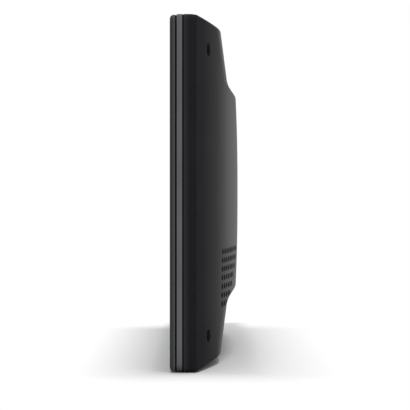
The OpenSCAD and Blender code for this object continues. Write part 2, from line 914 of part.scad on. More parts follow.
module switch_plunger() {
    color("#d8d3c6")
        box(-button_x - plunger_w / 2, button_f - plunger_t / 2, switch_top - plunger_in,
            [plunger_w, plunger_t, plunger_in + plunger_out]);
}

// Oval metal sleeve, closed at its inner end
module usb_port() {
    color("#c2c5c9")
        translate([-usb_x, 0, 0])
            difference() {
                column(usb_lift - half_h, usb_lift - half_h + usb_l)
                    translate([0, usb_f])
                        polygon(pill(usb_w, usb_t));
                column(usb_lift - half_h - over, usb_lift - half_h + usb_l - usb_sheet)
                    translate([0, usb_f])
                        polygon(pill(usb_w - 2 * usb_sheet, usb_t - 2 * usb_sheet));
            }
}

module usb_tongue() {
    color("#1a1a1b")
        box(-usb_x - tongue_w / 2, usb_f - tongue_t / 2, usb_lift - half_h + tongue_back,
            [tongue_w, tongue_t, usb_l - usb_sheet - tongue_back]);
}

module card_slot() {
    color("#c2c5c9")
        difference() {
            box(-card_x - slot_w / 2, board_back, slot_low, [slot_w, slot_t, slot_top - slot_low]);
            box(-card_x - card_w / 2 - card_gap, card_f - card_gap, slot_low - over,
                [card_w + 2 * card_gap, card_t + 2 * card_gap, slot_top - card_side - slot_low + over]);
        }
}

module memory_card() {
    color("#19191b")
        box(-card_x - card_w / 2, card_f, card_lift - half_h, [card_w, card_t, card_l]);
}

// Cup for the ball of a windscreen arm, open to the back
module ball_socket() {
    mouth = body_t - mouth_bevel;
    color("#17181a")
        difference() {
            union() {
                rod([0, 0], cup_front, body_t, cup_r);
                rod([0, 0], cup_flange_f, cup_flange_back, cup_flange_r);
            }
            rod([0, 0], cup_floor_f, body_t + over, ball_r);
            rod([0, 0], cup_pad_f, body_t, ball_r - pad_ledge);
            translate([0, mouth - body_t / 2, half_h])
                rotate([-90, 0, 0])
                    cylinder(h = mouth_bevel, r1 = ball_r, r2 = ball_r + mouth_bevel);
            for (p = cup_screw_at)
                rod(p, cup_flange_f - over, cup_flange_back + over, screw_r + screw_gap);
        }
}

module socket_pad() {
    color("#0d0d0e")
        rod([0, 0], cup_pad_f, cup_floor_f, ball_r - pad_ledge - cup_gap);
}

module socket_screws() {
    color("#a9acb0")
        for (p = cup_screw_at)
            screw(p, cup_flange_f, cup_flange_t + cup_screw_l - blind_floor, way = -1);
}

module shell_screws() {
    color("#55575a")
        for (p = shell_screw_at)
            screw(p, seat_back, seat_back - plate_f - 2 * blind_floor);
}

module board_screws() {
    color("#a9acb0")
        for (p = board_screw_at)
            screw(p, board_back, board_back - plate_f - 2 * blind_floor);
}

cover_glass();
front_gasket();
lcd_panel();
backlight_tray();
lcd_flex();
lcd_connector();
mid_frame();
rear_gasket();
rear_shell();
main_board();
processor();
memory_chips();
thermal_pad();
shield_can();
radio_module();
gnss_antenna();
gnss_patch();
battery();
battery_pad();
battery_plug();
battery_leads();
speaker_frame();
speaker_magnet();
speaker_cone();
speaker_seal();
speaker_mesh();
speaker_leads();
speaker_screws();
power_button();
switch_body();
switch_plunger();
usb_port();
usb_tongue();
card_slot();
memory_card();
ball_socket();
socket_pad();
socket_screws();
shell_screws();
board_screws();
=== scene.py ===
"""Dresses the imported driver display: rounded pieces, finishes, a white studio and the camera."""

import functools
import json
import math

import bmesh
import bpy
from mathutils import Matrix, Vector


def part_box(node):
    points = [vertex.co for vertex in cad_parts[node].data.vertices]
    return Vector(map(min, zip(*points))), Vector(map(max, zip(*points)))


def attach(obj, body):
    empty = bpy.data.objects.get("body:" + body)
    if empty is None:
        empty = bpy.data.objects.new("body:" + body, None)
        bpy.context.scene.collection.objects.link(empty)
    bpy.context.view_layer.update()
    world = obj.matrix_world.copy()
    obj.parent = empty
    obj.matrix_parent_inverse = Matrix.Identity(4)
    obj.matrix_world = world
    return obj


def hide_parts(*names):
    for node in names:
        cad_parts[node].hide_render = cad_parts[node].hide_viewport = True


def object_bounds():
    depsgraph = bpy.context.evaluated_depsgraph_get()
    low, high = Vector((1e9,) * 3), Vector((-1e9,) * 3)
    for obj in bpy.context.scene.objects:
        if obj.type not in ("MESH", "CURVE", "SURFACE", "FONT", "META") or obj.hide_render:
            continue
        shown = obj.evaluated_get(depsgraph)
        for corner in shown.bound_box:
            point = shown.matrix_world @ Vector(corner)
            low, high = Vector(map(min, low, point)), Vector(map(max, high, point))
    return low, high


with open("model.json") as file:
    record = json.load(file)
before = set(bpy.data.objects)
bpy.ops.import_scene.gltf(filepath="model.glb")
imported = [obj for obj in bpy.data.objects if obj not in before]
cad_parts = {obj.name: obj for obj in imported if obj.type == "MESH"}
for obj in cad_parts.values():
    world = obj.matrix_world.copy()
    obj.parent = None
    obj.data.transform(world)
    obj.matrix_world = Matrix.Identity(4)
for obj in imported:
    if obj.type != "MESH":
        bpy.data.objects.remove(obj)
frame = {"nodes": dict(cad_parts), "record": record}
cad_low, cad_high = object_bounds()

bl_info = {
    "name": "Driver display dressing",
    "version": (1, 0, 0),
    "blender": (4, 5, 0),
    "location": "View3D > Sidebar > Display",
    "description": "Rounded pieces, finishes and studio for a slim glass-fronted driver display",
    "category": "Object",
}

MM = 0.001

# Places in the body are given as x, depth behind the glass front and height from the middle
BODY_T = cad_high.y - cad_low.y
MIDDLE_Z = (cad_low.z + cad_high.z) / 2
SHELL_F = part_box("rear_shell")[0].y - cad_low.y

# Sides of the body for its walls, and the middle of its back
TOP = 1
BASE = -1
CENTRE = (0.0, 0.0)

# How finely the pieces are divided
COLUMNS = 112
PANEL_ROWS = 12
FLANK_ROWS = 22
STRIP_ROWS = 6
CORNER_STEPS = 8
FILLET_STEPS = 6
GLASS_STEPS = 8
WALL_STEPS = 7
BORDER_STEPS = 4
ROUND_STEPS = 64
CUP_STEPS = 128
PILL_STEPS = 12

# Halvings in the search for the depth at which the back meets a wall
BISECTIONS = 40

# How far the close grid lines of the back start before the crest and end past the hollow
CLOSE_BEFORE = 3 * MM
CLOSE_PAST = 0.5 * MM

# How far a cutter reaches past what it cuts
PAST = 1 * MM

# Least part of a face's normal along an axis for it to count as facing that way
FACING = 0.99

# Angle between two faces, in degrees, from which their edge stays sharp
SHARP_ANGLE = 32.0

# Where contacts start and end along their piece and how much of their pitch they fill, as shares
TONGUE_CONTACTS = (0.15, 0.8)
TONGUE_FILL = 0.5
CARD_CONTACTS = (0.74, 0.95)
CARD_FILL = 0.7

# Share of the card's height at which it starts to narrow
CARD_WAIST = 0.45

EVEN = (1.0, 1.0, 1.0)
WHITE = (1.0, 1.0, 1.0, 1.0)
CAMERA_NEAR = 10 * MM


def length(name, description, millimetres):
    """Size property, written here in millimetres and kept in metres."""
    return bpy.props.FloatProperty(name=name, description=description, default=millimetres * MM,
                                   min=0.0, precision=5, unit="LENGTH")


def turn(name, description, degrees):
    """Angle property, written here in degrees."""
    return bpy.props.FloatProperty(name=name, description=description, default=math.radians(degrees),
                                   subtype="ANGLE")


def amount(name, description, value):
    """Plain number property."""
    return bpy.props.FloatProperty(name=name, description=description, default=value, min=0.0)


def count(name, description, number):
    """Whole number property."""
    return bpy.props.IntProperty(name=name, description=description, default=number, min=1)


def tint(name, description, colour):
    """Colour property."""
    return bpy.props.FloatVectorProperty(name=name, description=description, default=colour, size=3,
                                         min=0.0, max=1.0, subtype="COLOR")


class BackSizes(bpy.types.PropertyGroup):
    """Sizes of the rear shell."""
    wall_t: length("Wall", "Wall thickness of the shell", 1.8)
    corner_r: length("Corner radius", "Corner radius of the outline seen from the front", 2.5)
    least_r: length("Inner corner radius", "Least corner radius of an inset outline", 0.5)
    edge_t: length("Side depth", "Depth of the thin side edges at their crease", 7.4)
    wing_drop: length("Strip drop", "How much shallower the rear edges are than the middle", 6.07)
    edge_fall: length("Edge fall", "How far the rear edges fall in from the top and the base", 2.4)
    slope_start: length("Slope start", "Depth at which the top and base walls start to slope", 6)
    slope_r: length("Slope radius", "Radius of the sloping top and base walls", 60)
    wing_angle: turn("Strip lean", "Lean of the upper and lower strips of the back", 8.2)
    panel_h: length("Panel height", "Height of the raised panel across the back", 59)
    bow_r: length("Panel bow", "Radius of the raised panel's vertical bow", 450)
    flank_angle: turn("Flank angle", "Angle of the raised panel's flanks", 48)
    hollow_r: length("Hollow radius", "Radius of the hollow at the foot of the flanks", 5)
    crest_soft: length("Crest softness", "Rounding of the raised panel's crest", 0.5)
    seam_soft: length("Seam softness", "Rounding where the crown meets the raised panel", 0.5)
    strip_soft: length("Strip softness", "Rounding where the crown meets the strips", 1.2)
    edge_fillet: length("Rear edge fillet", "Rounding of the edge round the back", 0.4)
    rim_in: length("Front rim taper", "How far the shell's front rim draws in", 0.06)
    rim_deep: length("Front rim depth", "Depth over which the front rim draws in", 0.3)
    # Depth of the painted highlight behind the shell's front rim, a lighter colour that stands in for light
    # falling on it from the front
    rubbed: length("Rubbed rim", "Depth of the rubbed strip behind the front rim", 1.6)
    border: length("Border", "Width of the strip round the back that carries the fillet", 5)
    mouth: length("Mouth bevel", "Bevel round each opening of the shell", 0.18)


class GrilleSizes(bpy.types.PropertyGroup):
    """Sizes of the speaker grille."""
    rows: count("Rows", "Rows of slots", 7)
    slots: count("Slots", "Slots in the top row", 10)
    top: length("Top row", "Height of the top row above the base", 32.5)
    row_pitch: length("Row pitch", "Distance between rows", 2.56)
    slot_pitch: length("Slot pitch", "Distance between slots in a row", 3.6)
    slot_l: length("Slot length", "Length of each slot", 2.1)
    slot_h: length("Slot width", "Width of each slot", 1.4)
    outer: length("Outer end", "Distance of the top row's outer end from the side", 30.3)
    step: length("Row step", "Outward step from row to row", 0.24)
    chamber_t: length("Chamber wall", "Wall that meets the speaker's sealing ring", 1.2)
    chamber_r: length("Chamber corner", "Corner radius of that wall", 4)


class FrontSizes(bpy.types.PropertyGroup):
    """Sizes of the cover glass and the middle frame."""
    glass_round: length("Glass rounding", "Rounding of the glass's front edge", 1.15)
    glass_bevel: length("Glass bevel", "Bevel of the glass's back edge", 0.05)
    glass_inset: length("Glass inset", "How far the glass stops short of the outline", 0.2)
    band_fillet: length("Band fillet", "Rounding of the band's front edge", 0.35)
    band_break: length("Band break", "Rounding of the band's rear edge", 0.04)
    lcd_gap: length("Panel gap", "Room round the display panel in its pocket", 0.3)
    skirt_t: length("Skirt", "Thickness of the skirt round the display pocket", 1.4)
    plate_t: length("Plate", "Thickness of the plate behind the display", 1.2)
    boss_r: length("Boss radius", "Radius of the screw bosses on the plate", 3.1)
    lead_slot: length("Lead slot", "Width of the plate's slot for the display's lead", 0.78)
    lead_rise: length("Lead slot rise", "Height of that slot's middle above the lead's lower end", 0.1)
    bezel: length("Ink border", "How far the black border reaches in over the display panel", 9.5)


class FittingSizes(bpy.types.PropertyGroup):
    """Sizes of the screws, the button, the sockets and the card."""
    head_r: length("Head radius", "Radius of the screw heads", 1.6)
    head_t: length("Head", "Thickness of the screw heads", 1.2)
    head_round: length("Head rounding", "Rounding of the screw heads", 0.3)
    shank_r: length("Shank radius", "Radius of the screw shanks", 0.95)
    drive_w: length("Drive", "Distance between the flats of the hexagon drive", 1.5)
    drive_t: length("Drive depth", "Depth of the hexagon drive", 0.7)
    drive_bevel: length("Drive bevel", "Bevel at the drive's mouth", 0.12)
    recess_r: length("Recess radius", "Radius of the recess over each shell screw", 1.85)
    seat_t: length("Seat", "Thickness of the seat under each shell screw", 1)
    screw_gap: length("Screw gap", "Room round a screw in a plain hole", 0.2)
    thread_gap: length("Thread gap", "Room round a screw in the boss that holds it", 0.0285)
    button_l: length("Button length", "Length of the power button", 10)
    button_h: length("Button width", "Width of the power button", 3.2)
    button_proud: length("Button proud", "How far the button stands proud", 0.35)
    button_round: length("Button rounding", "Rounding of the button's outer edge", 0.3)
    button_gap: length("Button gap", "Gap round the button in its hole", 0.25)
    flange_t: length("Button flange", "Thickness of the button's retaining flange", 1)
    stem_w: length("Stem width", "Width of the button's stem", 2)
    stem_t: length("Stem thickness", "Thickness of the button's stem", 0.8)
    port_gap: length("Port gap", "Gap round the charging socket and the card in the shell", 0.35)
    port_sheet: length("Port sheet", "Sheet thickness of the charging socket", 0.3)
    card_ridge: length("Card ridge", "Length of the finger ridge on the card", 1.6)
    card_skin: length("Card skin", "How far the card's rear face lies below its ridge", 0.1)
    card_step: length("Card step", "Step in the card's width towards its inner end", 1.3)
    contact_t: length("Contact", "How far contacts stand out of their plastic", 0.03)
    port_contacts: count("Port contacts", "Contacts on each face of the charging socket's tongue", 12)
    card_contacts: count("Card contacts", "Contacts on the memory card", 8)


class BallSizes(bpy.types.PropertyGroup):
    """Sizes of the ball socket."""
    ball_r: length("Bore radius", "Radius of the socket for the ball", 8.6)
    cup_wall: length("Wall", "Wall of the socket", 2.2)
    mouth: length("Mouth bevel", "Bevel at the socket's mouth", 0.4)
    rim_round: length("Rim rounding", "Rounding of the socket's outer rim", 0.35)
    rim_low: length("Rim drop", "How far the socket's mouth lies below the crest of the back", 0.25)
    rim_fall: length("Rim fall", "How far the socket's outer rim falls below its mouth", 0.12)
    flange_t: length("Flange", "Thickness of the socket's flange", 1.2)
    flange_drop: length("Flange drop", "Depth of the flange's back face below the crest of the back", 3.8)
    ledge: length("Pad ledge", "Ledge left round the pad", 1)
    gap: length("Gap", "Gap round the socket in the shell", 0.15)
    grooves: count("Grooves", "Grooves in the rubber pad", 3)
    groove: length("Groove", "Depth and half width of each groove in the pad", 0.25)


class Finishes(bpy.types.PropertyGroup):
    """Colours of the finishes that show."""
    shell: tint("Shell", "Black moulded plastic of the shell", (0.0160, 0.0162, 0.0180))
    shell_light: tint("Shell, lighter", "Lighter grains in that plastic", (0.0252, 0.0255, 0.0280))
    # Colour of the painted highlight along the shell's front rim, which stands in for light from the front
    shell_rim_highlight: tint("Shell rim", "Rubbed front rim of the shell", (0.042, 0.043, 0.046))
    band: tint("Band", "Grey anodised metal of the band", (0.126, 0.127, 0.133))
    band_dark: tint("Band, darker", "Darker patches on that metal", (0.112, 0.113, 0.118))
    ink: tint("Ink", "Black ink behind the glass's border", (0.0030, 0.0031, 0.0034))
    screen: tint("Screen", "Unlit display behind the glass", (0.0060, 0.0068, 0.0078))
    # The glass edge runs from the front colour to a much paler back colour, a painted highlight that stands
    # in for light on its back part
    edge_front: tint("Glass edge, front", "Ground edge of the cover glass at its front",
                     (0.042, 0.0438, 0.0456))
    edge_back_highlight: tint("Glass edge, back", "Ground edge of the cover glass at its back",
                    (0.117, 0.1207, 0.1243))


class StageSizes(bpy.types.PropertyGroup):
    """Camera and light."""
    camera_x: length("Camera distance", "Distance of the camera from the middle of the body", 598)
    camera_y: bpy.props.FloatProperty(name="Camera side shift", description="Sideways place of the camera",
                                      default=-0.41 * MM, precision=5, unit="LENGTH")
    camera_z: length("Camera height", "Height of the camera above the floor", 53.8)
    lens: amount("Lens", "Focal length in millimetres on a 36 mm sensor", 161.2)
    horizon: bpy.props.FloatProperty(name="Horizon", description="Camera shift that frames the body",
                                     default=-0.0623)
    dome: amount("Dome", "Strength of the even light from all round", 0.45)
    lamp: amount("Lamp", "Power of the overhead softbox in watts", 4.6)
    lamp_y: length("Lamp setback", "How far behind the body the overhead softbox hangs", 55)
    lamp_z: length("Lamp height", "Height of the overhead softbox", 900)
    lamp_w: length("Lamp width", "Width of the overhead softbox across the body's depth", 420)
    lamp_l: length("Lamp length", "Length of the overhead softbox along the body's width", 900)
    floor_w: length("Floor", "Width of the floor", 6000)
    paper: amount("Paper", "Lightness of the floor for the light that it sends on to the body", 0.9)
    white: amount("White", "Lightness of the floor as the camera sees it, white where no shadow falls", 0.93)
    fade: length("Shadow reach", "Distance from the shaded patch at which the floor is plain white", 26)
    shade_far: length("Shaded patch", "How far the shaded patch of floor reaches past the middle", 57)
    contact: length("Contact shadow", "Reach of the close shadow all round the body", 6)


class DisplayDressing(bpy.types.PropertyGroup):
    """All the sizes and colours that a user would change."""
    back: bpy.props.PointerProperty(type=BackSizes)
    grille: bpy.props.PointerProperty(type=GrilleSizes)
    front: bpy.props.PointerProperty(type=FrontSizes)
    fitting: bpy.props.PointerProperty(type=FittingSizes)
    ball: bpy.props.PointerProperty(type=BallSizes)
    finish: bpy.props.PointerProperty(type=Finishes)
    stage: bpy.props.PointerProperty(type=StageSizes)


def chosen():
    """The sizes and colours in use."""
    return bpy.context.scene.display_dressing


# Places and plane outlines

def at(x, depth, height):
    """Point of the frame for a place in the body."""
    return Vector((x, cad_low.y + depth, MIDDLE_Z + height))


def depth_of(point):
    """Depth behind the glass front of a point of the frame."""
    return point.y - cad_low.y


def height_of(point):
    """Height from the middle of a point of the frame."""
    return point.z - MIDDLE_Z


def centre_of(node):
    """Middle of a CAD node's box."""
    low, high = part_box(node)
    return (low + high) / 2


def size_of(node):
    """Size of a CAD node's box."""
    low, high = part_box(node)
    return high - low


def wall_place(node):
    """Middle of a CAD node's box as x and depth, for what goes through the top or base wall."""
    middle = centre_of(node)
    return middle.x, depth_of(middle)


def screw_places(node, head_r):
    """Plane places of the screws at the corners of a node's box."""
    low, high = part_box(node)
    return [(x, h) for x in (low.x + head_r, high.x - head_r)
            for h in (height_of(low) + head_r, height_of(high) - head_r)]


def screw_seat(fitting):
    """Depth of the seats under the heads of the shell screws."""
    return depth_of(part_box("shell_screws")[1]) - fitting.head_t


def lerp(a, b, share):
    """Number part of the way from a to b."""
    return a + (b - a) * share


def between(a, b, share):
    """Plane point part of the way from a to b."""
    return lerp(a[0], b[0], share), lerp(a[1], b[1], share)


def spread(*runs):
    """Numbers over runs that follow each other, each given as start, end and number of steps."""
    values = [lerp(start, end, k / steps) for start, end, steps in runs for k in range(steps)]
    return values + [runs[-1][1]]


def polar(centre, radius, degrees):
    """Plane point at a radius and an angle from a centre."""
    angle = math.radians(degrees)
    return centre[0] + radius * math.cos(angle), centre[1] + radius * math.sin(angle)


def arc(centre, radius, start, end, steps):
    """Plane points on an arc, with its angles in degrees."""
    return [polar(centre, radius, degrees) for degrees in spread((start, end, steps))]


def circle(centre, radius, steps=ROUND_STEPS):
    """Plane points on a circle."""
    return arc(centre, radius, 0, 360, steps)[:-1]


def rounded(half_w, half_h, radius, centre=CENTRE, steps=CORNER_STEPS):
    """Plane points on a rectangle with rounded corners."""
    points = []
    for side_x, side_h, start in ((1, 1, 0), (-1, 1, 90), (-1, -1, 180), (1, -1, 270)):
        middle = (centre[0] + side_x * (half_w - radius), centre[1] + side_h * (half_h - radius))
        points += arc(middle, radius, start, start + 90, steps)
    return points


def pill(centre, long, wide, steps=PILL_STEPS):
    """Plane points on a slot with round ends."""
    reach = (long - wide) / 2
    right = arc((centre[0] + reach, centre[1]), wide / 2, -90, 90, steps)
    left = arc((centre[0] - reach, centre[1]), wide / 2, 90, 270, steps)
    return right + left


def hexagon(centre, flats, steps=ROUND_STEPS):
    """Plane points on a hexagon, at the same angles as a circle's."""
    angles = spread((0, 360, steps))[:-1]
    return [polar(centre, flats / 2 / math.cos(math.radians(a % 60 - 30)), a) for a in angles]


def rounding(radius, steps=FILLET_STEPS, end=90):
    """Pairs of inset and drop over a rounded edge, from its side round to an angle in degrees."""
    angles = [math.radians(a) for a in spread((0, end, steps))]
    return [(radius * (1 - math.cos(a)), radius * (1 - math.sin(a))) for a in angles]


def bend(start, corner, end, steps=FILLET_STEPS, weight=0.75):
    """Points on a smooth bend from start to end that leans towards the corner."""
    points = []
    for t in spread((0.0, 1.0, steps)):
        shares = (1 - t) ** 2, 2 * weight * t * (1 - t), t ** 2
        mixed = start * shares[0] + corner * shares[1] + end * shares[2]
        points.append(mixed / sum(shares))
    return points


def soft_min(a, b, soft):
    """Smaller of two numbers, rounded off where they are close."""
    near = max(soft - abs(a - b), 0.0) / soft
    return min(a, b) - near * near * soft / 4


class BackForm:
    """Form of the back, set in by a given amount."""

    def __init__(self, sizes, inset=0.0):
        box = size_of("rear_shell")
        half_w, half_h = box.x / 2, box.z / 2
        self.inset = inset
        self.sizes = sizes
        self.half_w = half_w - inset
        self.half_h = half_h - inset
        self.corner_r = max(sizes.corner_r - inset, sizes.least_r)
        rise = BODY_T - sizes.edge_t
        crown_r = (half_w ** 2 + rise ** 2) / (2 * rise)
        self.crown_o = BODY_T - crown_r
        self.crown_r = crown_r - inset
        start = Vector((sizes.slope_start, half_h))
        edge = Vector((BODY_T - sizes.wing_drop, half_h - sizes.edge_fall))
        self.slope_o = self.arc_centre(start, edge, sizes.slope_r)
        self.slope_r = sizes.slope_r - inset
        self.bow_o = BODY_T - sizes.bow_r
        self.bow_r = sizes.bow_r - inset
        panel_h = sizes.panel_h / 2
        crest = Vector((self.bow_o + math.sqrt(sizes.bow_r ** 2 - panel_h ** 2), panel_h))
        wing, flank = sizes.wing_angle, sizes.flank_angle
        wing_c = self.normal(wing).dot(edge)
        flank_c = self.normal(flank).dot(crest)
        self.hollow_o = self.crossing(wing, wing_c + sizes.hollow_r, flank, flank_c + sizes.hollow_r)
        self.hollow_r = sizes.hollow_r + inset
        self.wing_c = wing_c - inset
        self.flank_c = flank_c - inset
        self.wing_h = self.hollow_o.y - self.hollow_r * math.sin(wing)
        self.flank_h = self.hollow_o.y - self.hollow_r * math.sin(flank)

    @staticmethod
    def normal(angle):
        """Unit vector of a line's normal, as depth and height."""
        return Vector((math.cos(angle), math.sin(angle)))

    @staticmethod
    def arc_centre(p, q, radius):
        """Centre of the arc from p to q that bulges to the left of that way."""
        way = q - p
        half = way.length / 2
        along = way.normalized()
        return (p + q) / 2 + math.sqrt(radius ** 2 - half ** 2) * Vector((along.y, -along.x))

    @staticmethod
    def crossing(a, c, b, d):
        """Crossing of two lines, each given by the angle of its normal and its distance from zero."""
        across = c * math.sin(b) - d * math.sin(a)
        up = d * math.cos(a) - c * math.cos(b)
        return Vector((across, up)) / math.sin(b - a)

    def side_depth(self, height):
        """Depth of the back's side outline at a height: strip, hollow, flank or raised panel."""
        h = abs(height)
        if h > self.wing_h:
            wing = self.sizes.wing_angle
            return (self.wing_c - math.sin(wing) * h) / math.cos(wing)
        if h > self.flank_h:
            return self.hollow_o.x - math.sqrt(self.hollow_r ** 2 - (h - self.hollow_o.y) ** 2)
        flank = self.sizes.flank_angle
        slant = (self.flank_c - math.sin(flank) * h) / math.cos(flank)
        bow = self.bow_o + math.sqrt(self.bow_r ** 2 - h ** 2)
        return soft_min(slant, bow, self.sizes.crest_soft)

    def depth(self, x, height):
        """Depth of the back at x and a height from the middle."""
        sizes = self.sizes
        crown = self.crown_o + math.sqrt(self.crown_r ** 2 - x ** 2)
        side = self.side_depth(height)
        fall = min(max((BODY_T - self.inset - side) / sizes.wing_drop, 0.0), 1.0)
        return soft_min(crown, side, sizes.seam_soft + fall * (sizes.strip_soft - sizes.seam_soft))

    def wall_height(self, depth):
        """Height of the top wall at a depth, straight at first and then sloping."""
        slope = self.slope_o.y + math.sqrt(self.slope_r ** 2 - (depth - self.slope_o.x) ** 2)
        return min(self.half_h, slope)

    def on_back(self, points, offset=0.0):
        """Plane points laid on the back, or off it by an offset along the depth."""
        return [at(x, self.depth(x, h) + offset, h) for x, h in points]

    def on_wall(self, points, side, offset=0.0):
        """Points given as x and depth, laid on the TOP or BASE wall, or off it by an offset."""
        return [at(x, depth, side * (self.wall_height(depth) + offset)) for x, depth in points]


# Mesh making

def flat(points, depth):
    """Plane points at one depth."""
    return [at(x, depth, h) for x, h in points]


def level(points, height):
    """Points given as x and depth, at one height."""
    return [at(x, depth, height) for x, depth in points]


def turned(profile, place, steps=ROUND_STEPS):
    """Loops of a turned form about a place, whose profile is given as radius and depth."""
    return [flat(circle(place, radius, steps), depth) for radius, depth in profile]


def rod(place, radius, start, end):
    """Loops of a plain round rod between two depths."""
    return turned([(radius, start), (radius, end)], place)


def loft(bm, loops, ring=False):
    """Skin over loops of equal length, capped at both ends, or joined last to first for a ring."""
    made = [[bm.verts.new(p) for p in loop] for loop in loops]
    pairs = list(zip(made, made[1:]))
    if ring:
        pairs.append((made[-1], made[0]))
    else:
        bm.faces.new(made[0])
        bm.faces.new(made[-1])
    for near, far in pairs:
        for k in range(len(near)):
            bm.faces.new((near[k - 1], near[k], far[k], far[k - 1]))


def mesh_from(name, bm):
    """Mesh with its faces turned outward."""
    bmesh.ops.recalc_face_normals(bm, faces=bm.faces)
    mesh = bpy.data.meshes.new(name)
    bm.to_mesh(mesh)
    bm.free()
    return mesh


def lofted(name, *solids):
    """Mesh of separate lofts, each a list of loops."""
    bm = bmesh.new()
    for loops in solids:
        loft(bm, loops)
    return mesh_from(name, bm)


def placed(name, data):
    """Object that shows some data, linked to the scene."""
    made = bpy.data.objects.new(name, data)
    bpy.context.scene.collection.objects.link(made)
    return made


def carve(mesh, operation, tool):
    """Mesh joined with a tool mesh, or cut by it."""
    body = placed("carve_body", mesh)
    cutter = placed("carve_tool", tool)
    step = body.modifiers.new(operation, "BOOLEAN")
    step.operation = operation
    step.solver = "EXACT"
    step.object = cutter
    graph = bpy.context.evaluated_depsgraph_get()
    done = bpy.data.meshes.new_from_object(body.evaluated_get(graph))
    for item in (body, cutter):
        bpy.data.objects.remove(item)
    if not done.polygons:
        raise RuntimeError(f"nothing is left of {mesh.name} after {operation}")
    return done


def piece(name, mesh, body, node, *materials):
    """Object for a mesh that stands for a CAD node, rides on its body and hides that node."""
    mesh.name = name
    mesh.shade_smooth()
    mesh.set_sharp_from_angle(angle=math.radians(SHARP_ANGLE))
    for material in materials:
        mesh.materials.append(material)
    made = placed(name, mesh)
    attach(made, body)
    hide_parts(node)


# Shader writing

class Wire:
    """Output of a shader node. Arithmetic on it adds Math nodes."""

    def __init__(self, shader, socket):
        self.shader = shader
        self.socket = socket

    def maths(self, operation, first, second=0.0):
        """Math node on one or two values."""
        return self.shader.node("ShaderNodeMath", {"operation": operation}, {0: first, 1: second})

    def __add__(self, other):
        return self.maths("ADD", self, other)

    def __radd__(self, other):
        return self.maths("ADD", other, self)

    def __sub__(self, other):
        return self.maths("SUBTRACT", self, other)

    def __rsub__(self, other):
        return self.maths("SUBTRACT", other, self)

    def __mul__(self, other):
        return self.maths("MULTIPLY", self, other)

    def __rmul__(self, other):
        return self.maths("MULTIPLY", other, self)

    def __lt__(self, other):
        return self.maths("LESS_THAN", self, other)

    def __gt__(self, other):
        return self.maths("GREATER_THAN", self, other)

    def __abs__(self):
        return self.maths("ABSOLUTE", self)


class Shader:
    """Node tree whose nodes are written as Python calls."""

    def __init__(self, tree):
        self.tree = tree
        self.tree.nodes.clear()

    def node(self, kind, settings, sockets, output=0):
        """New node with its settings, then its sockets' values or links, as the wire of one output."""
        made = self.tree.nodes.new(kind)
        for key, value in settings.items():
            if key == "stops":
                self.set_stops(made.color_ramp.elements, value)
            else:
                setattr(made, key, value)
        for key, value in sockets.items():
            if isinstance(value, Wire):
                self.tree.links.new(value.socket, made.inputs[key])
            else:
                made.inputs[key].default_value = value
        return Wire(self, made.outputs[output]) if made.outputs else None

    @staticmethod
    def set_stops(elements, stops):
        """Grey stops of a ramp, as place and value."""
        while len(elements) < len(stops):
            elements.new(1.0)
        for element, (place, value) in zip(elements, stops):
            element.position = place
            element.color = (value, value, value, 1.0)


class Finish(Shader):
    """Procedural material of one surface."""

    # Colour sockets of a Mix node, by number because its other sockets share their names
    MIX_FIRST = 6
    MIX_SECOND = 7
    MIX_RESULT = 2

    def __init__(self, name):
        self.material = bpy.data.materials.new(name)
        self.material.use_nodes = True
        super().__init__(self.material.node_tree)
        self.skin = self.tree.nodes.new("ShaderNodeBsdfPrincipled")
        self.node("ShaderNodeOutputMaterial", {}, {"Surface": Wire(self, self.skin.outputs[0])})
        self.place = self.node("ShaderNodeTexCoord", {}, {}, "Object")

    def plain(self, **values):
        """Sets what is the same all over the surface, on the surface's own sockets."""
        for name, value in values.items():
            socket = name.replace("_", " ").title().replace("Ior", "IOR")
            self.skin.inputs[socket].default_value = value

    def feed(self, socket, wire):
        """Links a wire to one of the surface's own sockets."""
        self.tree.links.new(wire.socket, self.skin.inputs[socket])

    def noise(self, grain, detail=2.0, stretch=EVEN):
        """Soft random pattern with grains of a size in millimetres, stretched along the axes if asked."""
        scaled = self.node("ShaderNodeVectorMath", {"operation": "MULTIPLY"}, {0: self.place, 1: stretch})
        sockets = {"Vector": scaled, "Scale": 1 / (grain * MM), "Detail": detail}
        return self.node("ShaderNodeTexNoise", {}, sockets)

    def wave(self, axis, scale):
        """Even bands along one axis, closer together at a larger scale."""
        sockets = {"Vector": self.place, "Scale": scale}
        return self.node("ShaderNodeTexWave", {"bands_direction": axis}, sockets)

    def axis(self, name):
        """One coordinate of the surface point."""
        return self.node("ShaderNodeSeparateXYZ", {}, {0: self.place}, name)

    def blend(self, share, *colours):
        """Colour part of the way from the first to the second."""
        first, second = (c if isinstance(c, Wire) else (*c, 1.0) for c in colours)
        sockets = {0: share, self.MIX_FIRST: first, self.MIX_SECOND: second}
        return self.node("ShaderNodeMix", {"data_type": "RGBA"}, sockets, self.MIX_RESULT)

    def ramp(self, wire, *stops):
        """Wire remapped through stops."""
        return self.node("ShaderNodeValToRGB", {"stops": stops}, {0: wire})

    def rise(self, wire, low, high):
        """Wire remapped to rise from nought to one between two values."""
        return self.ramp(wire, (low, 0.0), (high, 1.0))

    def colour(self, share, first, second):
        """Colours the surface part of the way from the first colour to the second."""
        self.feed("Base Color", self.blend(share, first, second))

    def roughen(self, middle, pattern, swing):
        """Makes the surface rougher and smoother about a middle value, as a pattern goes."""
        self.feed("Roughness", middle + (pattern - 0.5) * swing)

    def relief(self, height, depth):
        """Bump of a depth in millimetres from a height pattern."""
        self.feed("Normal", self.node("ShaderNodeBump", {}, {"Height": height, "Distance": depth * MM}))


# Finishes, one for each material slot of the record, and two for edges and contacts

def moulded(made, dark, light, roughness, grain, relief, gloss=0.5):
    """Moulded plastic or rubber with a fine eroded grain and faint clouding."""
    made.plain(specular_ior_level=gloss)
    cloud = made.noise(14, detail=3.0)
    fine = made.noise(grain)
    made.colour(made.rise(cloud, 0.35, 0.65), dark, light)
    made.feed("Roughness", roughness + (fine - 0.5) * 0.16 + (cloud - 0.5) * 0.1)
    made.relief(fine, relief)


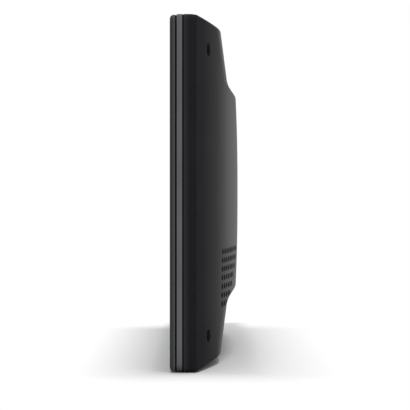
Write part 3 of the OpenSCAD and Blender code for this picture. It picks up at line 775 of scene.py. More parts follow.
def sheet_metal(made, dark, light, roughness, stretch=EVEN):
    """Plated or rolled metal with fine marks, drawn out along one way if stretched."""
    made.plain(metallic=1.0)
    marks = made.noise(0.5, detail=3.0, stretch=stretch)
    made.colour(made.rise(made.noise(9), 0.3, 0.7), dark, light)
    made.roughen(roughness, marks, swing=0.18)
    made.relief(marks, depth=0.003)


def front_glass(made):
    """Cover glass: black ink border, unlit display area and faint smears."""
    look = chosen().finish
    panel, border = size_of("lcd_panel"), chosen().front.bezel
    within_x = abs(made.axis("X")) < panel.x / 2 - border
    within_z = abs(made.axis("Z") - MIDDLE_Z) < panel.z / 2 - border
    smear = made.rise(made.noise(26, detail=5.0, stretch=(1.0, 1.0, 2.2)), 0.45, 0.75)
    made.colour(within_x * within_z, look.ink, look.screen)
    made.feed("Roughness", 0.05 + smear * 0.07)


def glass_edge(made):
    """Finely ground edge of the cover glass, with a painted highlight that makes it paler towards its back.
    """
    look = chosen().finish
    made.plain(specular_ior_level=0.06)
    # Painted highlight: the edge's colour grows paler towards the back of the glass
    across = (made.axis("Y") - cad_low.y) * (1 / size_of("cover_glass").y)
    made.colour(across * across, look.edge_front, look.edge_back_highlight)
    made.roughen(0.42, made.noise(0.2), swing=0.2)


def band_metal(made):
    """Blasted and anodised aluminium of the band and the frame."""
    look = chosen().finish
    made.plain(metallic=1.0)
    grit = made.noise(0.16, detail=3.0)
    made.colour(made.rise(made.noise(11, detail=3.0), 0.3, 0.7), look.band_dark, look.band)
    made.roughen(0.40, grit, swing=0.2)
    made.relief(grit, depth=0.006)


def shell_plastic(made):
    """Black moulded shell with a fine eroded grain, a satin sheen at a slant and a painted highlight along
    its front rim.
    """
    look, rubbed = chosen().finish, chosen().back.rubbed
    made.plain(specular_ior_level=0.015, coat_roughness=0.3)
    grain = made.noise(0.24)
    speckle = made.rise(grain, 0.38, 0.62)
    cloud = made.rise(made.noise(17, detail=4.0), 0.35, 0.65)
    handled = made.rise(made.noise(38), 0.5, 0.72)
    slant = made.node("ShaderNodeLayerWeight", {}, {"Blend": 0.5}, "Facing")
    # Painted highlight: the colour lightens towards the front rim and fades out over the highlight's depth
    # behind it
    behind = (made.axis("Y") - (cad_low.y + SHELL_F)) * (1 / rubbed)
    grained = made.blend(speckle * 0.65 + cloud * 0.35, look.shell, look.shell_light)
    made.colour(made.ramp(behind, (0.0, 1.0), (1.0, 0.0)), grained, look.shell_rim_highlight)
    made.feed("Roughness", 0.70 + (grain - 0.5) * 0.14 - handled * 0.05)
    made.feed("Coat Weight", made.ramp(slant, (0.73, 0.0), (0.79, 0.085), (0.86, 0.28), (0.95, 0.37)))
    made.relief(grain, depth=0.03)


def button_plastic(made):
    """Button: the shell's plastic with a smoother skin."""
    look = chosen().finish
    moulded(made, look.shell, look.shell_light, roughness=0.42, grain=0.4, relief=0.004, gloss=0.25)


def socket_plastic(made):
    """Ball socket: the shell's plastic, tougher and with a coarser grain."""
    look = chosen().finish
    moulded(made, look.shell, look.shell_light, roughness=0.38, grain=0.6, relief=0.006, gloss=0.3)


def gasket(made):
    """Soft black foam of the two gaskets."""
    moulded(made, (0.004, 0.004, 0.004), (0.006, 0.006, 0.006),
            roughness=0.9, grain=0.12, relief=0.02, gloss=0.05)


def pad_black(made):
    """Rubber pad in the ball socket."""
    moulded(made, (0.006, 0.006, 0.006), (0.011, 0.011, 0.011),
            roughness=0.82, grain=0.25, relief=0.02, gloss=0.25)


def connector_plastic(made):
    """Cream connector plastic."""
    moulded(made, (0.76, 0.72, 0.61), (0.82, 0.78, 0.68), roughness=0.5, grain=0.3, relief=0.004)


def chip_plastic(made):
    """Matt epoxy of the chips."""
    moulded(made, (0.020, 0.021, 0.023), (0.028, 0.029, 0.031), roughness=0.6, grain=0.15, relief=0.006)


def pad_rubber(made):
    """Grey-blue filled silicone of the soft pads."""
    moulded(made, (0.28, 0.33, 0.40), (0.34, 0.39, 0.46), roughness=0.75, grain=0.3, relief=0.015)


def antenna_ceramic(made):
    """Sintered beige ceramic."""
    moulded(made, (0.52, 0.44, 0.32), (0.60, 0.51, 0.38), roughness=0.62, grain=0.2, relief=0.008)


def wire_red(made):
    """Red wire sleeving."""
    moulded(made, (0.42, 0.035, 0.025), (0.50, 0.050, 0.034), roughness=0.4, grain=0.4, relief=0.004)


def inner_plastic(made):
    """Dark grey plastic inside the body."""
    moulded(made, (0.020, 0.020, 0.022), (0.030, 0.030, 0.032), roughness=0.55, grain=0.3, relief=0.008)


def card_plastic(made):
    """Smooth black plastic of the memory card."""
    moulded(made, (0.010, 0.010, 0.011), (0.016, 0.016, 0.017), roughness=0.45, grain=0.35, relief=0.003)


def screw_steel(made):
    """Zinc-plated steel of the inner screws."""
    sheet_metal(made, (0.42, 0.43, 0.44), (0.55, 0.55, 0.56), roughness=0.3)


def sheet_steel(made):
    """Tin-plated sheet of the cans, the sockets and the radio module."""
    sheet_metal(made, (0.48, 0.49, 0.50), (0.60, 0.60, 0.61), roughness=0.28, stretch=(0.12, 1.0, 1.0))


def tray_metal(made):
    """Pressed aluminium of the backlight tray."""
    sheet_metal(made, (0.58, 0.59, 0.60), (0.68, 0.69, 0.70), roughness=0.34, stretch=(0.08, 1.0, 1.0))


def magnet_metal(made):
    """Nickel-plated magnet."""
    sheet_metal(made, (0.36, 0.36, 0.37), (0.44, 0.44, 0.45), roughness=0.24)


def patch_metal(made):
    """Silver patch fired on the antenna."""
    sheet_metal(made, (0.55, 0.55, 0.55), (0.68, 0.68, 0.67), roughness=0.42)


def contact_gold(made):
    """Gold flash on contacts."""
    sheet_metal(made, (0.62, 0.42, 0.14), (0.72, 0.51, 0.20), roughness=0.25, stretch=(1.0, 1.0, 0.2))


def screw_black(made):
    """Blackened steel of the shell screws, with bare glints where the finish is thin."""
    made.plain(metallic=1.0)
    marks = made.noise(0.3, detail=4.0)
    thin = made.rise(made.noise(1.1, detail=3.0), 0.55, 0.72)
    made.colour(thin, (0.035, 0.035, 0.037), (0.09, 0.09, 0.095))
    made.roughen(0.36, marks, swing=0.22)
    made.relief(marks, depth=0.004)


def mesh_fabric(made):
    """Woven dust mesh behind the grille."""
    made.plain(specular_ior_level=0.2)
    across, along = (made.wave(axis, scale=700.0) for axis in "XZ")
    weave = across.maths("MAXIMUM", across, along)
    made.colour(weave, (0.001, 0.001, 0.001), (0.012, 0.012, 0.013))
    made.feed("Roughness", 0.95 - weave * 0.2)
    made.relief(weave, depth=0.05)


def battery_pouch(made):
    """Laminated foil pouch with shallow wrinkles."""
    made.plain(metallic=0.7)
    creases = made.noise(5, detail=3.0, stretch=(1.0, 1.0, 0.4))
    made.colour(creases, (0.036, 0.058, 0.115), (0.060, 0.085, 0.150))
    made.roughen(0.4, made.noise(0.4), swing=0.2)
    made.relief(creases, depth=0.12)


def board_laminate(made):
    """Green board: solder mask over tracks that turn from block to block, with tinned vias."""
    sides = [made.axis(name) for name in "XZ"]
    face = made.node("ShaderNodeCombineXYZ", {}, {0: sides[0], 1: sides[1]})

    def cells(size, output, **kind):
        """Irregular cells of a size in millimetres over the board's face."""
        return made.node("ShaderNodeTexVoronoi", {"voronoi_dimensions": "2D", **kind},
                         {"Vector": face, "Scale": 1 / (size * MM)}, output)

    track_pitch = 0.8 * MM
    # Half the width of a track and the radius of a via, as shares of their pitch
    half_track, via_r = 0.2, 0.07
    lanes = [abs(side.maths("FRACT", side * (1 / track_pitch)) - 0.5) < half_track for side in sides]
    blocks = cells(9, "Color", distance="CHEBYCHEV")
    vias = cells(4, "Distance") < via_r
    tracks = lanes[0] * (blocks > 0.55) + lanes[1] * (blocks < 0.45)
    weave = made.noise(0.35)
    mask = made.blend(tracks, (0.012, 0.098, 0.042), (0.026, 0.150, 0.066))
    made.colour(vias, mask, (0.46, 0.44, 0.38))
    made.roughen(0.36, weave, swing=0.16)
    made.relief(tracks * 0.6 + weave * 0.2, depth=0.03)


def flex_film(made):
    """Amber film with copper tracks along it."""
    tracks = made.wave("X", scale=320.0)
    made.colour(tracks, (0.42, 0.20, 0.035), (0.60, 0.32, 0.09))
    made.feed("Roughness", 0.3 + tracks * 0.12)
    made.relief(tracks, depth=0.015)


def panel_glass(made):
    """Display panel: black polariser over faint columns of cells."""
    columns = made.wave("X", scale=1200.0)
    made.colour(columns, (0.011, 0.013, 0.016), (0.018, 0.021, 0.025))
    made.feed("Roughness", 0.16 + made.noise(20) * 0.08)


def cone_film(made):
    """Pressed cone of paper and film, with its fibres."""
    made.plain(specular_ior_level=0.4)
    fibres = made.noise(0.7, detail=4.0, stretch=(0.4, 1.0, 1.0))
    made.colour(fibres, (0.007, 0.007, 0.008), (0.020, 0.020, 0.021))
    made.roughen(0.5, fibres, swing=0.3)
    made.relief(fibres, depth=0.03)


SLOT_FINISHES = {maker.__name__: maker for maker in (
    front_glass, band_metal, shell_plastic, button_plastic, socket_plastic, gasket, pad_black, mesh_fabric,
    screw_black, screw_steel, sheet_steel, tray_metal, magnet_metal, patch_metal, battery_pouch,
    board_laminate, flex_film, panel_glass, cone_film, connector_plastic, chip_plastic, pad_rubber,
    antenna_ceramic, wire_red, inner_plastic, card_plastic)}


@functools.cache
def finish(maker):
    """Material of a finish, made once and named after its maker."""
    made = Finish(maker.__name__)
    maker(made)
    return made.material


# Rear shell

def back_heights(form):
    """Heights of the back's grid lines, close together over the flanks and the hollows."""
    low = form.sizes.panel_h / 2 - CLOSE_BEFORE
    high = form.wing_h + CLOSE_PAST
    top = form.half_h - form.sizes.border
    half = spread((0.0, low, PANEL_ROWS), (low, high, FLANK_ROWS), (high, top, STRIP_ROWS))
    return [-h for h in reversed(half[1:])] + half


def border_walk(form, xs, hs):
    """Way round the grid's border: grid place, outline point and outward normal of each rib."""
    w, h, r = form.half_w, form.half_h, form.corner_r
    right, top = len(xs) - 1, len(hs) - 1

    def corner(i, j, start):
        middle = (math.copysign(w - r, xs[i]), math.copysign(h - r, hs[j]))
        points = arc(middle, r, start, start - 90, CORNER_STEPS)
        return [((i, j), p, ((p[0] - middle[0]) / r, (p[1] - middle[1]) / r)) for p in points]

    walk = [((i, top), (xs[i], h), (0, 1)) for i in range(right + 1)]
    walk += corner(right, top, 90)
    walk += [((right, j), (w, hs[j]), (1, 0)) for j in range(top, -1, -1)]
    walk += corner(right, 0, 0)
    walk += [((i, 0), (xs[i], -h), (0, -1)) for i in range(right, -1, -1)]
    walk += corner(0, 0, 270)
    walk += [((0, j), (-w, hs[j]), (-1, 0)) for j in range(top + 1)]
    return walk + corner(0, top, 180)


def rib(form, start, edge, normal, rim_in):
    """Points from the grid's border over the fillet and down the wall to the front rim."""
    fillet = form.sizes.edge_fillet
    rim_start = SHELL_F + (form.sizes.rim_deep if rim_in else 0.0)

    def wall(depth):
        return edge[0], math.copysign(min(abs(edge[1]), form.wall_height(depth)), edge[1])

    def on_wall(depth):
        x, h = wall(depth)
        return at(x, depth, h)

    shallow, deep = SHELL_F, BODY_T
    for _ in range(BISECTIONS):
        middle = (shallow + deep) / 2
        if form.depth(*wall(middle)) > middle:
            shallow = middle
        else:
            deep = middle
    crease = wall(shallow)
    inner = between(crease, start, fillet / math.dist(crease, start))
    shares = [k / (BORDER_STEPS + 1) for k in range(1, BORDER_STEPS + 1)]
    points = form.on_back([between(start, inner, share) for share in shares])
    points += bend(form.on_back([inner])[0], on_wall(shallow), on_wall(shallow - fillet))
    points += [on_wall(d) for d in spread((shallow - fillet, rim_start, WALL_STEPS))[1:]]
    if rim_in:
        inside = at(edge[0] - normal[0] * rim_in, SHELL_F, edge[1] - normal[1] * rim_in)
        points += bend(points[-1], on_wall((SHELL_F + rim_start) / 2), inside, weight=1.0)[1:]
    return points


def back_skin(bm, form, rim_in):
    """Skin of the back and its walls. Gives the loop of its front rim."""
    reach = form.half_w - form.sizes.border
    xs, hs = spread((-reach, reach, COLUMNS)), back_heights(form)
    grid = [[bm.verts.new(p) for p in form.on_back([(x, h) for h in hs])] for x in xs]
    for near, far in zip(grid, grid[1:]):
        for j in range(len(hs) - 1):
            bm.faces.new((near[j], near[j + 1], far[j + 1], far[j]))
    ribs = []
    for (i, j), edge, normal in border_walk(form, xs, hs):
        points = rib(form, (xs[i], hs[j]), edge, normal, rim_in)
        ribs.append([grid[i][j]] + [bm.verts.new(p) for p in points])
    for near, far in zip(ribs, ribs[1:] + ribs[:1]):
        for k in range(len(near) - 1):
            corners = [near[k], near[k + 1], far[k + 1]]
            if near[k] is not far[k]:
                corners.append(far[k])
            bm.faces.new(corners)
    return [points[-1] for points in ribs]


def hollow_shell(outer, inner):
    """Shell between two forms of the back, open to the front."""
    bm = bmesh.new()
    outside = back_skin(bm, outer, outer.sizes.rim_in)
    inside = back_skin(bm, inner, 0.0)
    for k in range(len(outside)):
        bm.faces.new((outside[k - 1], outside[k], inside[k], inside[k - 1]))
    return mesh_from("shell_wall", bm)


def shell_bosses(form, dressing):
    """Bosses on the inside of the shell: screw seats and the ring round the ball socket."""
    fitting = dressing.fitting
    under_seat = screw_seat(fitting) - fitting.seat_t
    rings = [(p, dressing.front.boss_r, under_seat) for p in screw_places("shell_screws", fitting.head_r)]
    rings.append((CENTRE, size_of("ball_socket").x / 2, BODY_T - dressing.ball.flange_drop))
    in_wall = -form.sizes.wall_t / 2
    return [[flat(circle(p, r), depth), form.on_back(circle(p, r), in_wall)] for p, r, depth in rings]


def speaker_chamber(form, grille):
    """Wall inside the shell that meets the speaker's sealing ring."""
    size, middle = size_of("speaker_seal"), centre_of("speaker_seal")
    face = depth_of(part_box("speaker_seal")[1])

    def outline(inset):
        return rounded(size.x / 2 - inset, size.z / 2 - inset, grille.chamber_r - inset,
                       (middle.x, height_of(middle)))

    outside, inside = outline(0.0), outline(grille.chamber_t)
    in_wall = -form.sizes.wall_t / 2
    bm = bmesh.new()
    loft(bm, [flat(outside, face), form.on_back(outside, in_wall), form.on_back(inside, in_wall),
              flat(inside, face)], ring=True)
    return mesh_from("speaker_chamber", bm)


def round_hole(place, radius):
    """Outline of a round hole, as a function of how far it is grown."""
    return lambda grow: circle(place, radius + grow)


def slot_hole(place, long, wide):
    """Outline of a slot with round ends, as a function of how far it is grown."""
    return lambda grow: pill(place, long + 2 * grow, wide + 2 * grow)


def mouth_rim(lay, hole, bevel):
    """Last loops of a cutter that leaves a bevelled mouth: lay puts points on the surface or off it."""
    wide = hole(2 * bevel)
    return [lay(hole(0.0), -bevel), lay(wide, bevel), lay(wide, PAST)]


def through_hole(form, lay, hole):
    """Cutter for a hole through the shell's wall."""
    return [lay(hole(0.0), -2 * form.sizes.wall_t)] + mouth_rim(lay, hole, form.sizes.mouth)


def grille_openings(form, grille):
    """Cutters for the rows of slots, each row one slot shorter than the row above it."""
    solids = []
    for row in range(grille.rows):
        end = form.half_w - grille.outer + row * grille.step
        h = grille.top - form.half_h - row * grille.row_pitch
        for k in range(grille.slots - row):
            x = end - grille.slot_l / 2 - k * grille.slot_pitch
            solids.append(through_hole(form, form.on_back, slot_hole((x, h), grille.slot_l, grille.slot_h)))
    return solids


def back_openings(form, dressing):
    """Cutters for the screw recesses and the ball socket."""
    fitting, ball, bevel = dressing.fitting, dressing.ball, form.sizes.mouth
    seat = screw_seat(fitting)
    solids = []
    for place in screw_places("shell_screws", fitting.head_r):
        shaft = rod(place, fitting.shank_r + fitting.screw_gap, seat - 2 * fitting.seat_t, seat)
        recess = round_hole(place, fitting.recess_r)
        solids.append(shaft + [flat(recess(0.0), seat)] + mouth_rim(form.on_back, recess, bevel))
    cup = round_hole(CENTRE, ball.ball_r + ball.cup_wall + ball.gap)
    cup_end = flat(cup(0.0), BODY_T - ball.flange_drop - PAST)
    solids.append([cup_end] + mouth_rim(form.on_back, cup, bevel))
    return solids


def wall_openings(form, fitting):
    """Cutters for the button in the top wall, and for the charging socket and the card in the base wall."""
    port, card = size_of("usb_port"), size_of("memory_card")
    gap, button_room = fitting.port_gap, 2 * fitting.button_gap
    button_hole = slot_hole(wall_place("power_button"), fitting.button_l + button_room,
                            fitting.button_h + button_room)
    port_hole = slot_hole(wall_place("usb_port"), port.x + 2 * gap, port.y + 2 * gap)

    def card_hole(grow):
        spare = gap + grow
        return rounded(card.x / 2 + spare, card.y / 2 + spare, gap, wall_place("memory_card"))

    def on_top(points, offset):
        return form.on_wall(points, TOP, offset)

    def on_base(points, offset):
        return form.on_wall(points, BASE, offset)

    holes = ((on_top, button_hole), (on_base, port_hole), (on_base, card_hole))
    return [through_hole(form, lay, hole) for lay, hole in holes]


class DISPLAY_OT_rear_shell(bpy.types.Operator):
    """Crowned rear shell with rounded edges, screw recesses, grille and openings"""
    bl_idname = "display.rear_shell"
    bl_label = "Rear shell"

    def execute(self, context):
        dressing = context.scene.display_dressing
        outer = BackForm(dressing.back)
        mesh = hollow_shell(outer, BackForm(dressing.back, dressing.back.wall_t))
        mesh = carve(mesh, "UNION", lofted("shell_bosses", *shell_bosses(outer, dressing)))
        mesh = carve(mesh, "UNION", speaker_chamber(outer, dressing.grille))
        cutters = grille_openings(outer, dressing.grille)
        cutters += back_openings(outer, dressing)
        cutters += wall_openings(outer, dressing.fitting)
        mesh = carve(mesh, "DIFFERENCE", lofted("shell_openings", *cutters))
        piece("shell_moulding", mesh, "housing", "rear_shell", finish(shell_plastic))
        return {"FINISHED"}


# Glass and frame

class DISPLAY_OT_cover_glass(bpy.types.Operator):
    """Cover glass with a rounded front edge"""
    bl_idname = "display.cover_glass"
    bl_label = "Cover glass"

    def execute(self, context):
        dressing = context.scene.display_dressing
        front = dressing.front
        size = size_of("cover_glass")
        corner = dressing.back.corner_r - front.glass_inset

        def loop(inset, depth):
            return flat(rounded(size.x / 2 - inset, size.z / 2 - inset, corner - inset), depth)

        loops = [loop(front.glass_bevel, size.y), loop(0.0, size.y - front.glass_bevel)]
        loops += [loop(inset, drop) for inset, drop in rounding(front.glass_round, GLASS_STEPS)]
        mesh = lofted("glass_pane", loops)
        for face in mesh.polygons:
            face.material_index = int(abs(face.normal.y) < FACING)
        piece("glass_pane", mesh, "housing", "cover_glass", finish(front_glass), finish(glass_edge))
        return {"FINISHED"}


class DISPLAY_OT_middle_frame(bpy.types.Operator):
    """Cast frame: the grey band, the display pocket, its skirt and the plate with its bosses"""
    bl_idname = "display.middle_frame"
    bl_label = "Middle frame"

    def execute(self, context):
        dressing = context.scene.display_dressing
        front, fitting = dressing.front, dressing.fitting
        plate_f = depth_of(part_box("backlight_tray")[1])
        mesh = self.wall(dressing.back, front, plate_f)

        head_r = fitting.head_r
        under_seat = screw_seat(fitting) - fitting.seat_t
        bosses = [(p, under_seat) for p in screw_places("shell_screws", head_r)]
        bosses += [(p, depth_of(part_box("main_board")[0])) for p in screw_places("board_screws", head_r)]
        # The speaker has screws at two opposite corners only
        ears = screw_places("speaker_screws", head_r)[1:3]
        bosses += [(p, depth_of(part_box("speaker_frame")[0])) for p in ears]
        boss_root = plate_f + front.plate_t / 2
        rods = [rod(p, front.boss_r, boss_root, top) for p, top in bosses]
        mesh = carve(mesh, "UNION", lofted("frame_bosses", *rods))

        hole_r, hole_end = fitting.shank_r + fitting.thread_gap, plate_f + front.plate_t / 4
        holes = [rod(p, hole_r, hole_end, top + PAST) for p, top in bosses]
        lead_end = height_of(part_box("lcd_flex")[0])
        slot = rounded(size_of("lcd_flex").x / 2 + front.lcd_gap, front.lead_slot / 2, front.lcd_gap,
                       (centre_of("lcd_flex").x, lead_end + front.lead_rise))
        holes.append([flat(slot, plate_f - PAST), flat(slot, plate_f + front.plate_t + PAST)])
        mesh = carve(mesh, "DIFFERENCE", lofted("frame_holes", *holes))
        piece("frame_casting", mesh, "housing", "mid_frame", finish(band_metal))
        return {"FINISHED"}

    @staticmethod
    def wall(back, front, plate_f):
        """Band, display pocket, skirt and plate, before the bosses and holes."""
        outline, panel = size_of("mid_frame"), size_of("lcd_panel")
        band_f = depth_of(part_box("front_gasket")[1])
        band_back = depth_of(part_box("rear_gasket")[0])
        gap, room = front.lcd_gap, front.lcd_gap + front.skirt_t
        pocket = rounded(panel.x / 2 + gap, panel.z / 2 + gap, gap)
        skirt = rounded(panel.x / 2 + room, panel.z / 2 + room, room)

        def band(inset, depth):
            corner = back.corner_r - inset
            return flat(rounded(outline.x / 2 - inset, outline.z / 2 - inset, corner), depth)

        loops = [flat(pocket, plate_f), flat(pocket, band_f)]
        loops += [band(inset, band_f + drop) for inset, drop in reversed(rounding(front.band_fillet))]
        loops += [band(inset, band_back - drop) for inset, drop in rounding(front.band_break)]
        loops += [flat(skirt, band_back), flat(skirt, plate_f + front.plate_t)]
        return lofted("frame_wall", loops)


# Fittings

class DISPLAY_OT_shell_screws(bpy.types.Operator):
    """Four pan head screws with hexagon drives"""
    bl_idname = "display.shell_screws"
    bl_label = "Shell screws"

    def execute(self, context):
        fitting = context.scene.display_dressing.fitting
        tip, top = (depth_of(p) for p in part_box("shell_screws"))
        seat = screw_seat(fitting)
        shank_r, head_r, drive = fitting.shank_r, fitting.head_r, fitting.drive_w
        edge, bevel = fitting.head_round, fitting.drive_bevel
        profile = [(shank_r - edge, tip), (shank_r, tip + edge), (shank_r, seat),
                   (head_r - bevel, seat), (head_r, seat + bevel)]
        profile += [(head_r - inset, top - drop) for inset, drop in rounding(edge)]
        hollow = [(drive + bevel, top), (drive, top - bevel), (drive, top - fitting.drive_t)]
        screws = []
        for place in screw_places("shell_screws", head_r):
            drive_loops = [flat(hexagon(place, flats), depth) for flats, depth in hollow]
            screws.append(turned(profile, place) + drive_loops)
        piece("screw_set", lofted("screw_set", *screws), "housing", "shell_screws", finish(screw_black))
        return {"FINISHED"}


class DISPLAY_OT_power_button(bpy.types.Operator):
    """Oval button with a rounded edge, its retaining flange and its stem"""
    bl_idname = "display.power_button"
    bl_label = "Power button"

    def execute(self, context):
        dressing = context.scene.display_dressing
        back, fitting = dressing.back, dressing.fitting
        form, inner = BackForm(back), BackForm(back, back.wall_t)
        place, size = wall_place("power_button"), size_of("power_button")
        long, wide = fitting.button_l, fitting.button_h
        stem_end = height_of(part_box("power_button")[0])
        # The flange stays clear of the lowest part of the sloping wall above it
        flange_top = inner.wall_height(place[1] + size.y / 2) - fitting.button_gap
        flange_low = flange_top - fitting.flange_t
        stem, flange = pill(place, fitting.stem_w, fitting.stem_t), pill(place, size.x, size.y)

        def cap(inset, drop):
            outline = pill(place, long - 2 * inset, wide - 2 * inset)
            return form.on_wall(outline, TOP, fitting.button_proud - drop)

        loops = [level(stem, stem_end), level(stem, flange_low), level(flange, flange_low),
                 level(flange, flange_top), level(pill(place, long, wide), flange_top)]
        loops += [cap(inset, drop) for inset, drop in rounding(fitting.button_round)]
        piece("button_cap", lofted("button_cap", loops), "button", "power_button", finish(button_plastic))
        return {"FINISHED"}


class DISPLAY_OT_ball_socket(bpy.types.Operator):
    """Cup for the ball of a windscreen arm, and the grooved rubber pad in its floor"""
    bl_idname = "display.ball_socket"
    bl_label = "Ball socket"

    def execute(self, context):
        dressing = context.scene.display_dressing
        ball, fitting = dressing.ball, dressing.fitting
        pad_front, pad_back = (depth_of(p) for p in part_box("socket_pad"))
        front, crest = (depth_of(p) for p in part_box("ball_socket"))
        bore_r, flange_r, edge = ball.ball_r, size_of("ball_socket").x / 2, ball.rim_round
        cup_r, ledge_r = bore_r + ball.cup_wall, bore_r - ball.ledge
        flange_back = crest - ball.flange_drop
        flange_front = flange_back - ball.flange_t
        mouth = crest - ball.rim_low
        rim = mouth - ball.rim_fall
        profile = [(cup_r - edge, front), (cup_r, front + edge), (cup_r, flange_front),
                   (flange_r - edge, flange_front), (flange_r, flange_front + edge),
                   (flange_r, flange_back), (cup_r, flange_back)]
        profile += [(cup_r - inset, rim - drop) for inset, drop in rounding(edge)]
        profile += [(bore_r + ball.mouth, mouth), (bore_r, mouth - ball.mouth), (bore_r, pad_back),
                    (ledge_r, pad_back), (ledge_r, pad_front)]
        mesh = lofted("ball_cup", turned(profile, CENTRE, CUP_STEPS))
        # One screw above the cup, and two at the lower corners
        corners = screw_places("socket_screws", fitting.head_r)
        places = [(CENTRE[0], corners[1][1]), corners[0], corners[2]]
        hole_r = fitting.shank_r + fitting.screw_gap
        start, end = flange_back - 2 * ball.flange_t, flange_back + ball.flange_t
        holes = [rod(p, hole_r, start, end) for p in places]
        mesh = carve(mesh, "DIFFERENCE", lofted("cup_holes", *holes))
        piece("ball_cup", mesh, "housing", "ball_socket", finish(socket_plastic))

        pad_r, groove = size_of("socket_pad").x / 2, ball.groove
        valley = pad_back - groove
        profile = [(pad_r, pad_front), (pad_r, valley), (pad_r - groove, pad_back)]
        for k in range(ball.grooves):
            middle = pad_r * (ball.grooves - k) / (ball.grooves + 1)
            profile += [(middle + groove, pad_back), (middle, valley), (middle - groove, pad_back)]
        mesh = lofted("cup_pad", turned(profile, CENTRE, CUP_STEPS))
        piece("cup_pad", mesh, "housing", "socket_pad", finish(pad_black))
        return {"FINISHED"}


def contact_strips(bm, number, fill, across, along, faces, proud):
    """Thin contacts side by side across some room, on the faces at given depths, in the second material."""
    pitch = (across[1] - across[0]) / (number + 1)
    half = pitch * fill / 2
    before = set(bm.faces)
    for k in range(number):
        x = across[0] + (k + 1) * pitch
        for face in faces:
            outline = [(x - half, face - proud), (x + half, face - proud),
                       (x + half, face + proud), (x - half, face + proud)]
            loft(bm, [level(outline, height) for height in along])
    for made in set(bm.faces) - before:
        made.material_index = 1


class DISPLAY_OT_charging_socket(bpy.types.Operator):
    """Oval charging socket: rolled metal sleeve and a contact tongue"""
    bl_idname = "display.charging_socket"
    bl_label = "Charging socket"

    def execute(self, context):
        fitting = context.scene.display_dressing.fitting
        self.sleeve(fitting.port_sheet)
        self.tongue(fitting.contact_t, fitting.port_contacts)
        return {"FINISHED"}

    @staticmethod
    def sleeve(sheet):
        """Sleeve with a lip that is rounded over the thickness of its sheet."""
        place, size = wall_place("usb_port"), size_of("usb_port")
        low, high = (height_of(p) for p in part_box("usb_port"))

        def loop(inset, height):
            return level(pill(place, size.x - 2 * inset, size.y - 2 * inset), height)

        lip = rounding(sheet / 2, 2 * FILLET_STEPS, end=180)
        loops = [loop(sheet, high), loop(0.0, high - sheet)]
        loops += [loop(inset, low + drop) for inset, drop in lip]
        loops.append(loop(sheet, high - sheet))
        piece("port_sleeve", lofted("port_sleeve", loops), "housing", "usb_port", finish(sheet_steel))

    @staticmethod
    def tongue(skin, contacts):
        """Tongue with a tapered tip and contacts on both faces."""
        place, size = wall_place("usb_tongue"), size_of("usb_tongue")
        corner, far_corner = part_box("usb_tongue")
        low, high = height_of(corner), height_of(far_corner)
        half_t, tip = size.y / 2 - skin, size.y / 4

        def loop(inset, height):
            half = half_t - inset
            return level(rounded(size.x / 2 - inset, half, half / 2, place), height)

        bm = bmesh.new()
        loft(bm, [loop(0.0, high), loop(0.0, low + tip), loop(tip / 2, low)])
        along = [lerp(low, high, share) for share in TONGUE_CONTACTS]
        faces = (place[1] - half_t, place[1] + half_t)
        contact_strips(bm, contacts, TONGUE_FILL, (corner.x, far_corner.x), along, faces, skin)
        piece("port_tongue", mesh_from("port_tongue", bm), "housing", "usb_tongue",
              finish(inner_plastic), finish(contact_gold))


class DISPLAY_OT_memory_card(bpy.types.Operator):
    """Memory card with a finger ridge, a stepped side and gold contacts"""
    bl_idname = "display.memory_card"
    bl_label = "Memory card"

    def execute(self, context):
        fitting = context.scene.display_dressing.fitting
        low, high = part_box("memory_card")
        front, back = depth_of(low), depth_of(high)
        base, top = height_of(low), height_of(high)
        step, skin, ridge = fitting.card_step, fitting.card_skin, base + fitting.card_ridge
        bevel = skin / 2

        def slice_at(height, start, end, face):
            points = [(start + bevel, front), (end - bevel, front), (end, front + bevel),
                      (end, face - bevel), (end - bevel, face), (start + bevel, face),
                      (start, face - bevel), (start, front + bevel)]
            return level(points, height)

        left, narrow, right = low.x, low.x + step, high.x
        flush = back - skin
        waist = lerp(base, top, CARD_WAIST)
        loops = [slice_at(base, left + bevel, right - bevel, back - bevel),
                 slice_at(base + bevel, left, right, back),
                 slice_at(ridge, left, right, back),
                 slice_at(ridge + skin, left, right, flush),
                 slice_at(waist, left, right, flush),
                 slice_at(waist + step, narrow, right, flush),
                 slice_at(top - bevel, narrow, right, flush),
                 slice_at(top, narrow + bevel, right - bevel, flush - bevel)]
        bm = bmesh.new()
        loft(bm, loops)
        along = [lerp(base, top, share) for share in CARD_CONTACTS]
        contact_strips(bm, fitting.card_contacts, CARD_FILL, (narrow, right), along, (flush,),
                       fitting.contact_t)
        piece("card_body", mesh_from("card_body", bm), "card", "memory_card",
              finish(card_plastic), finish(contact_gold))
        return {"FINISHED"}


class DISPLAY_OT_inner_parts(bpy.types.Operator):
    """Finishes of the CAD solids, which show where no finer piece stands for them"""
    bl_idname = "display.inner_parts"
    bl_label = "Inner parts"

    def execute(self, context):
        for row in frame["record"]["subparts"]:
            part = frame["nodes"][row["node"]]
            material = finish(SLOT_FINISHES[row["material_slot"]])
            if not part.material_slots:
                part.data.materials.append(material)
            for slot in part.material_slots:
                slot.material = material
        return {"FINISHED"}


# Stage

def seen_rays(shader):
    """One for rays from the camera, a mirror or a glass, and nought for light on the object."""
    rays = [shader.node("ShaderNodeLightPath", {}, {}, name)
            for name in ("Is Camera Ray", "Is Glossy Ray", "Is Transmission Ray")]
    most = rays[0].maths("MAXIMUM", rays[0], rays[1])
    return most.maths("MAXIMUM", most, rays[2])


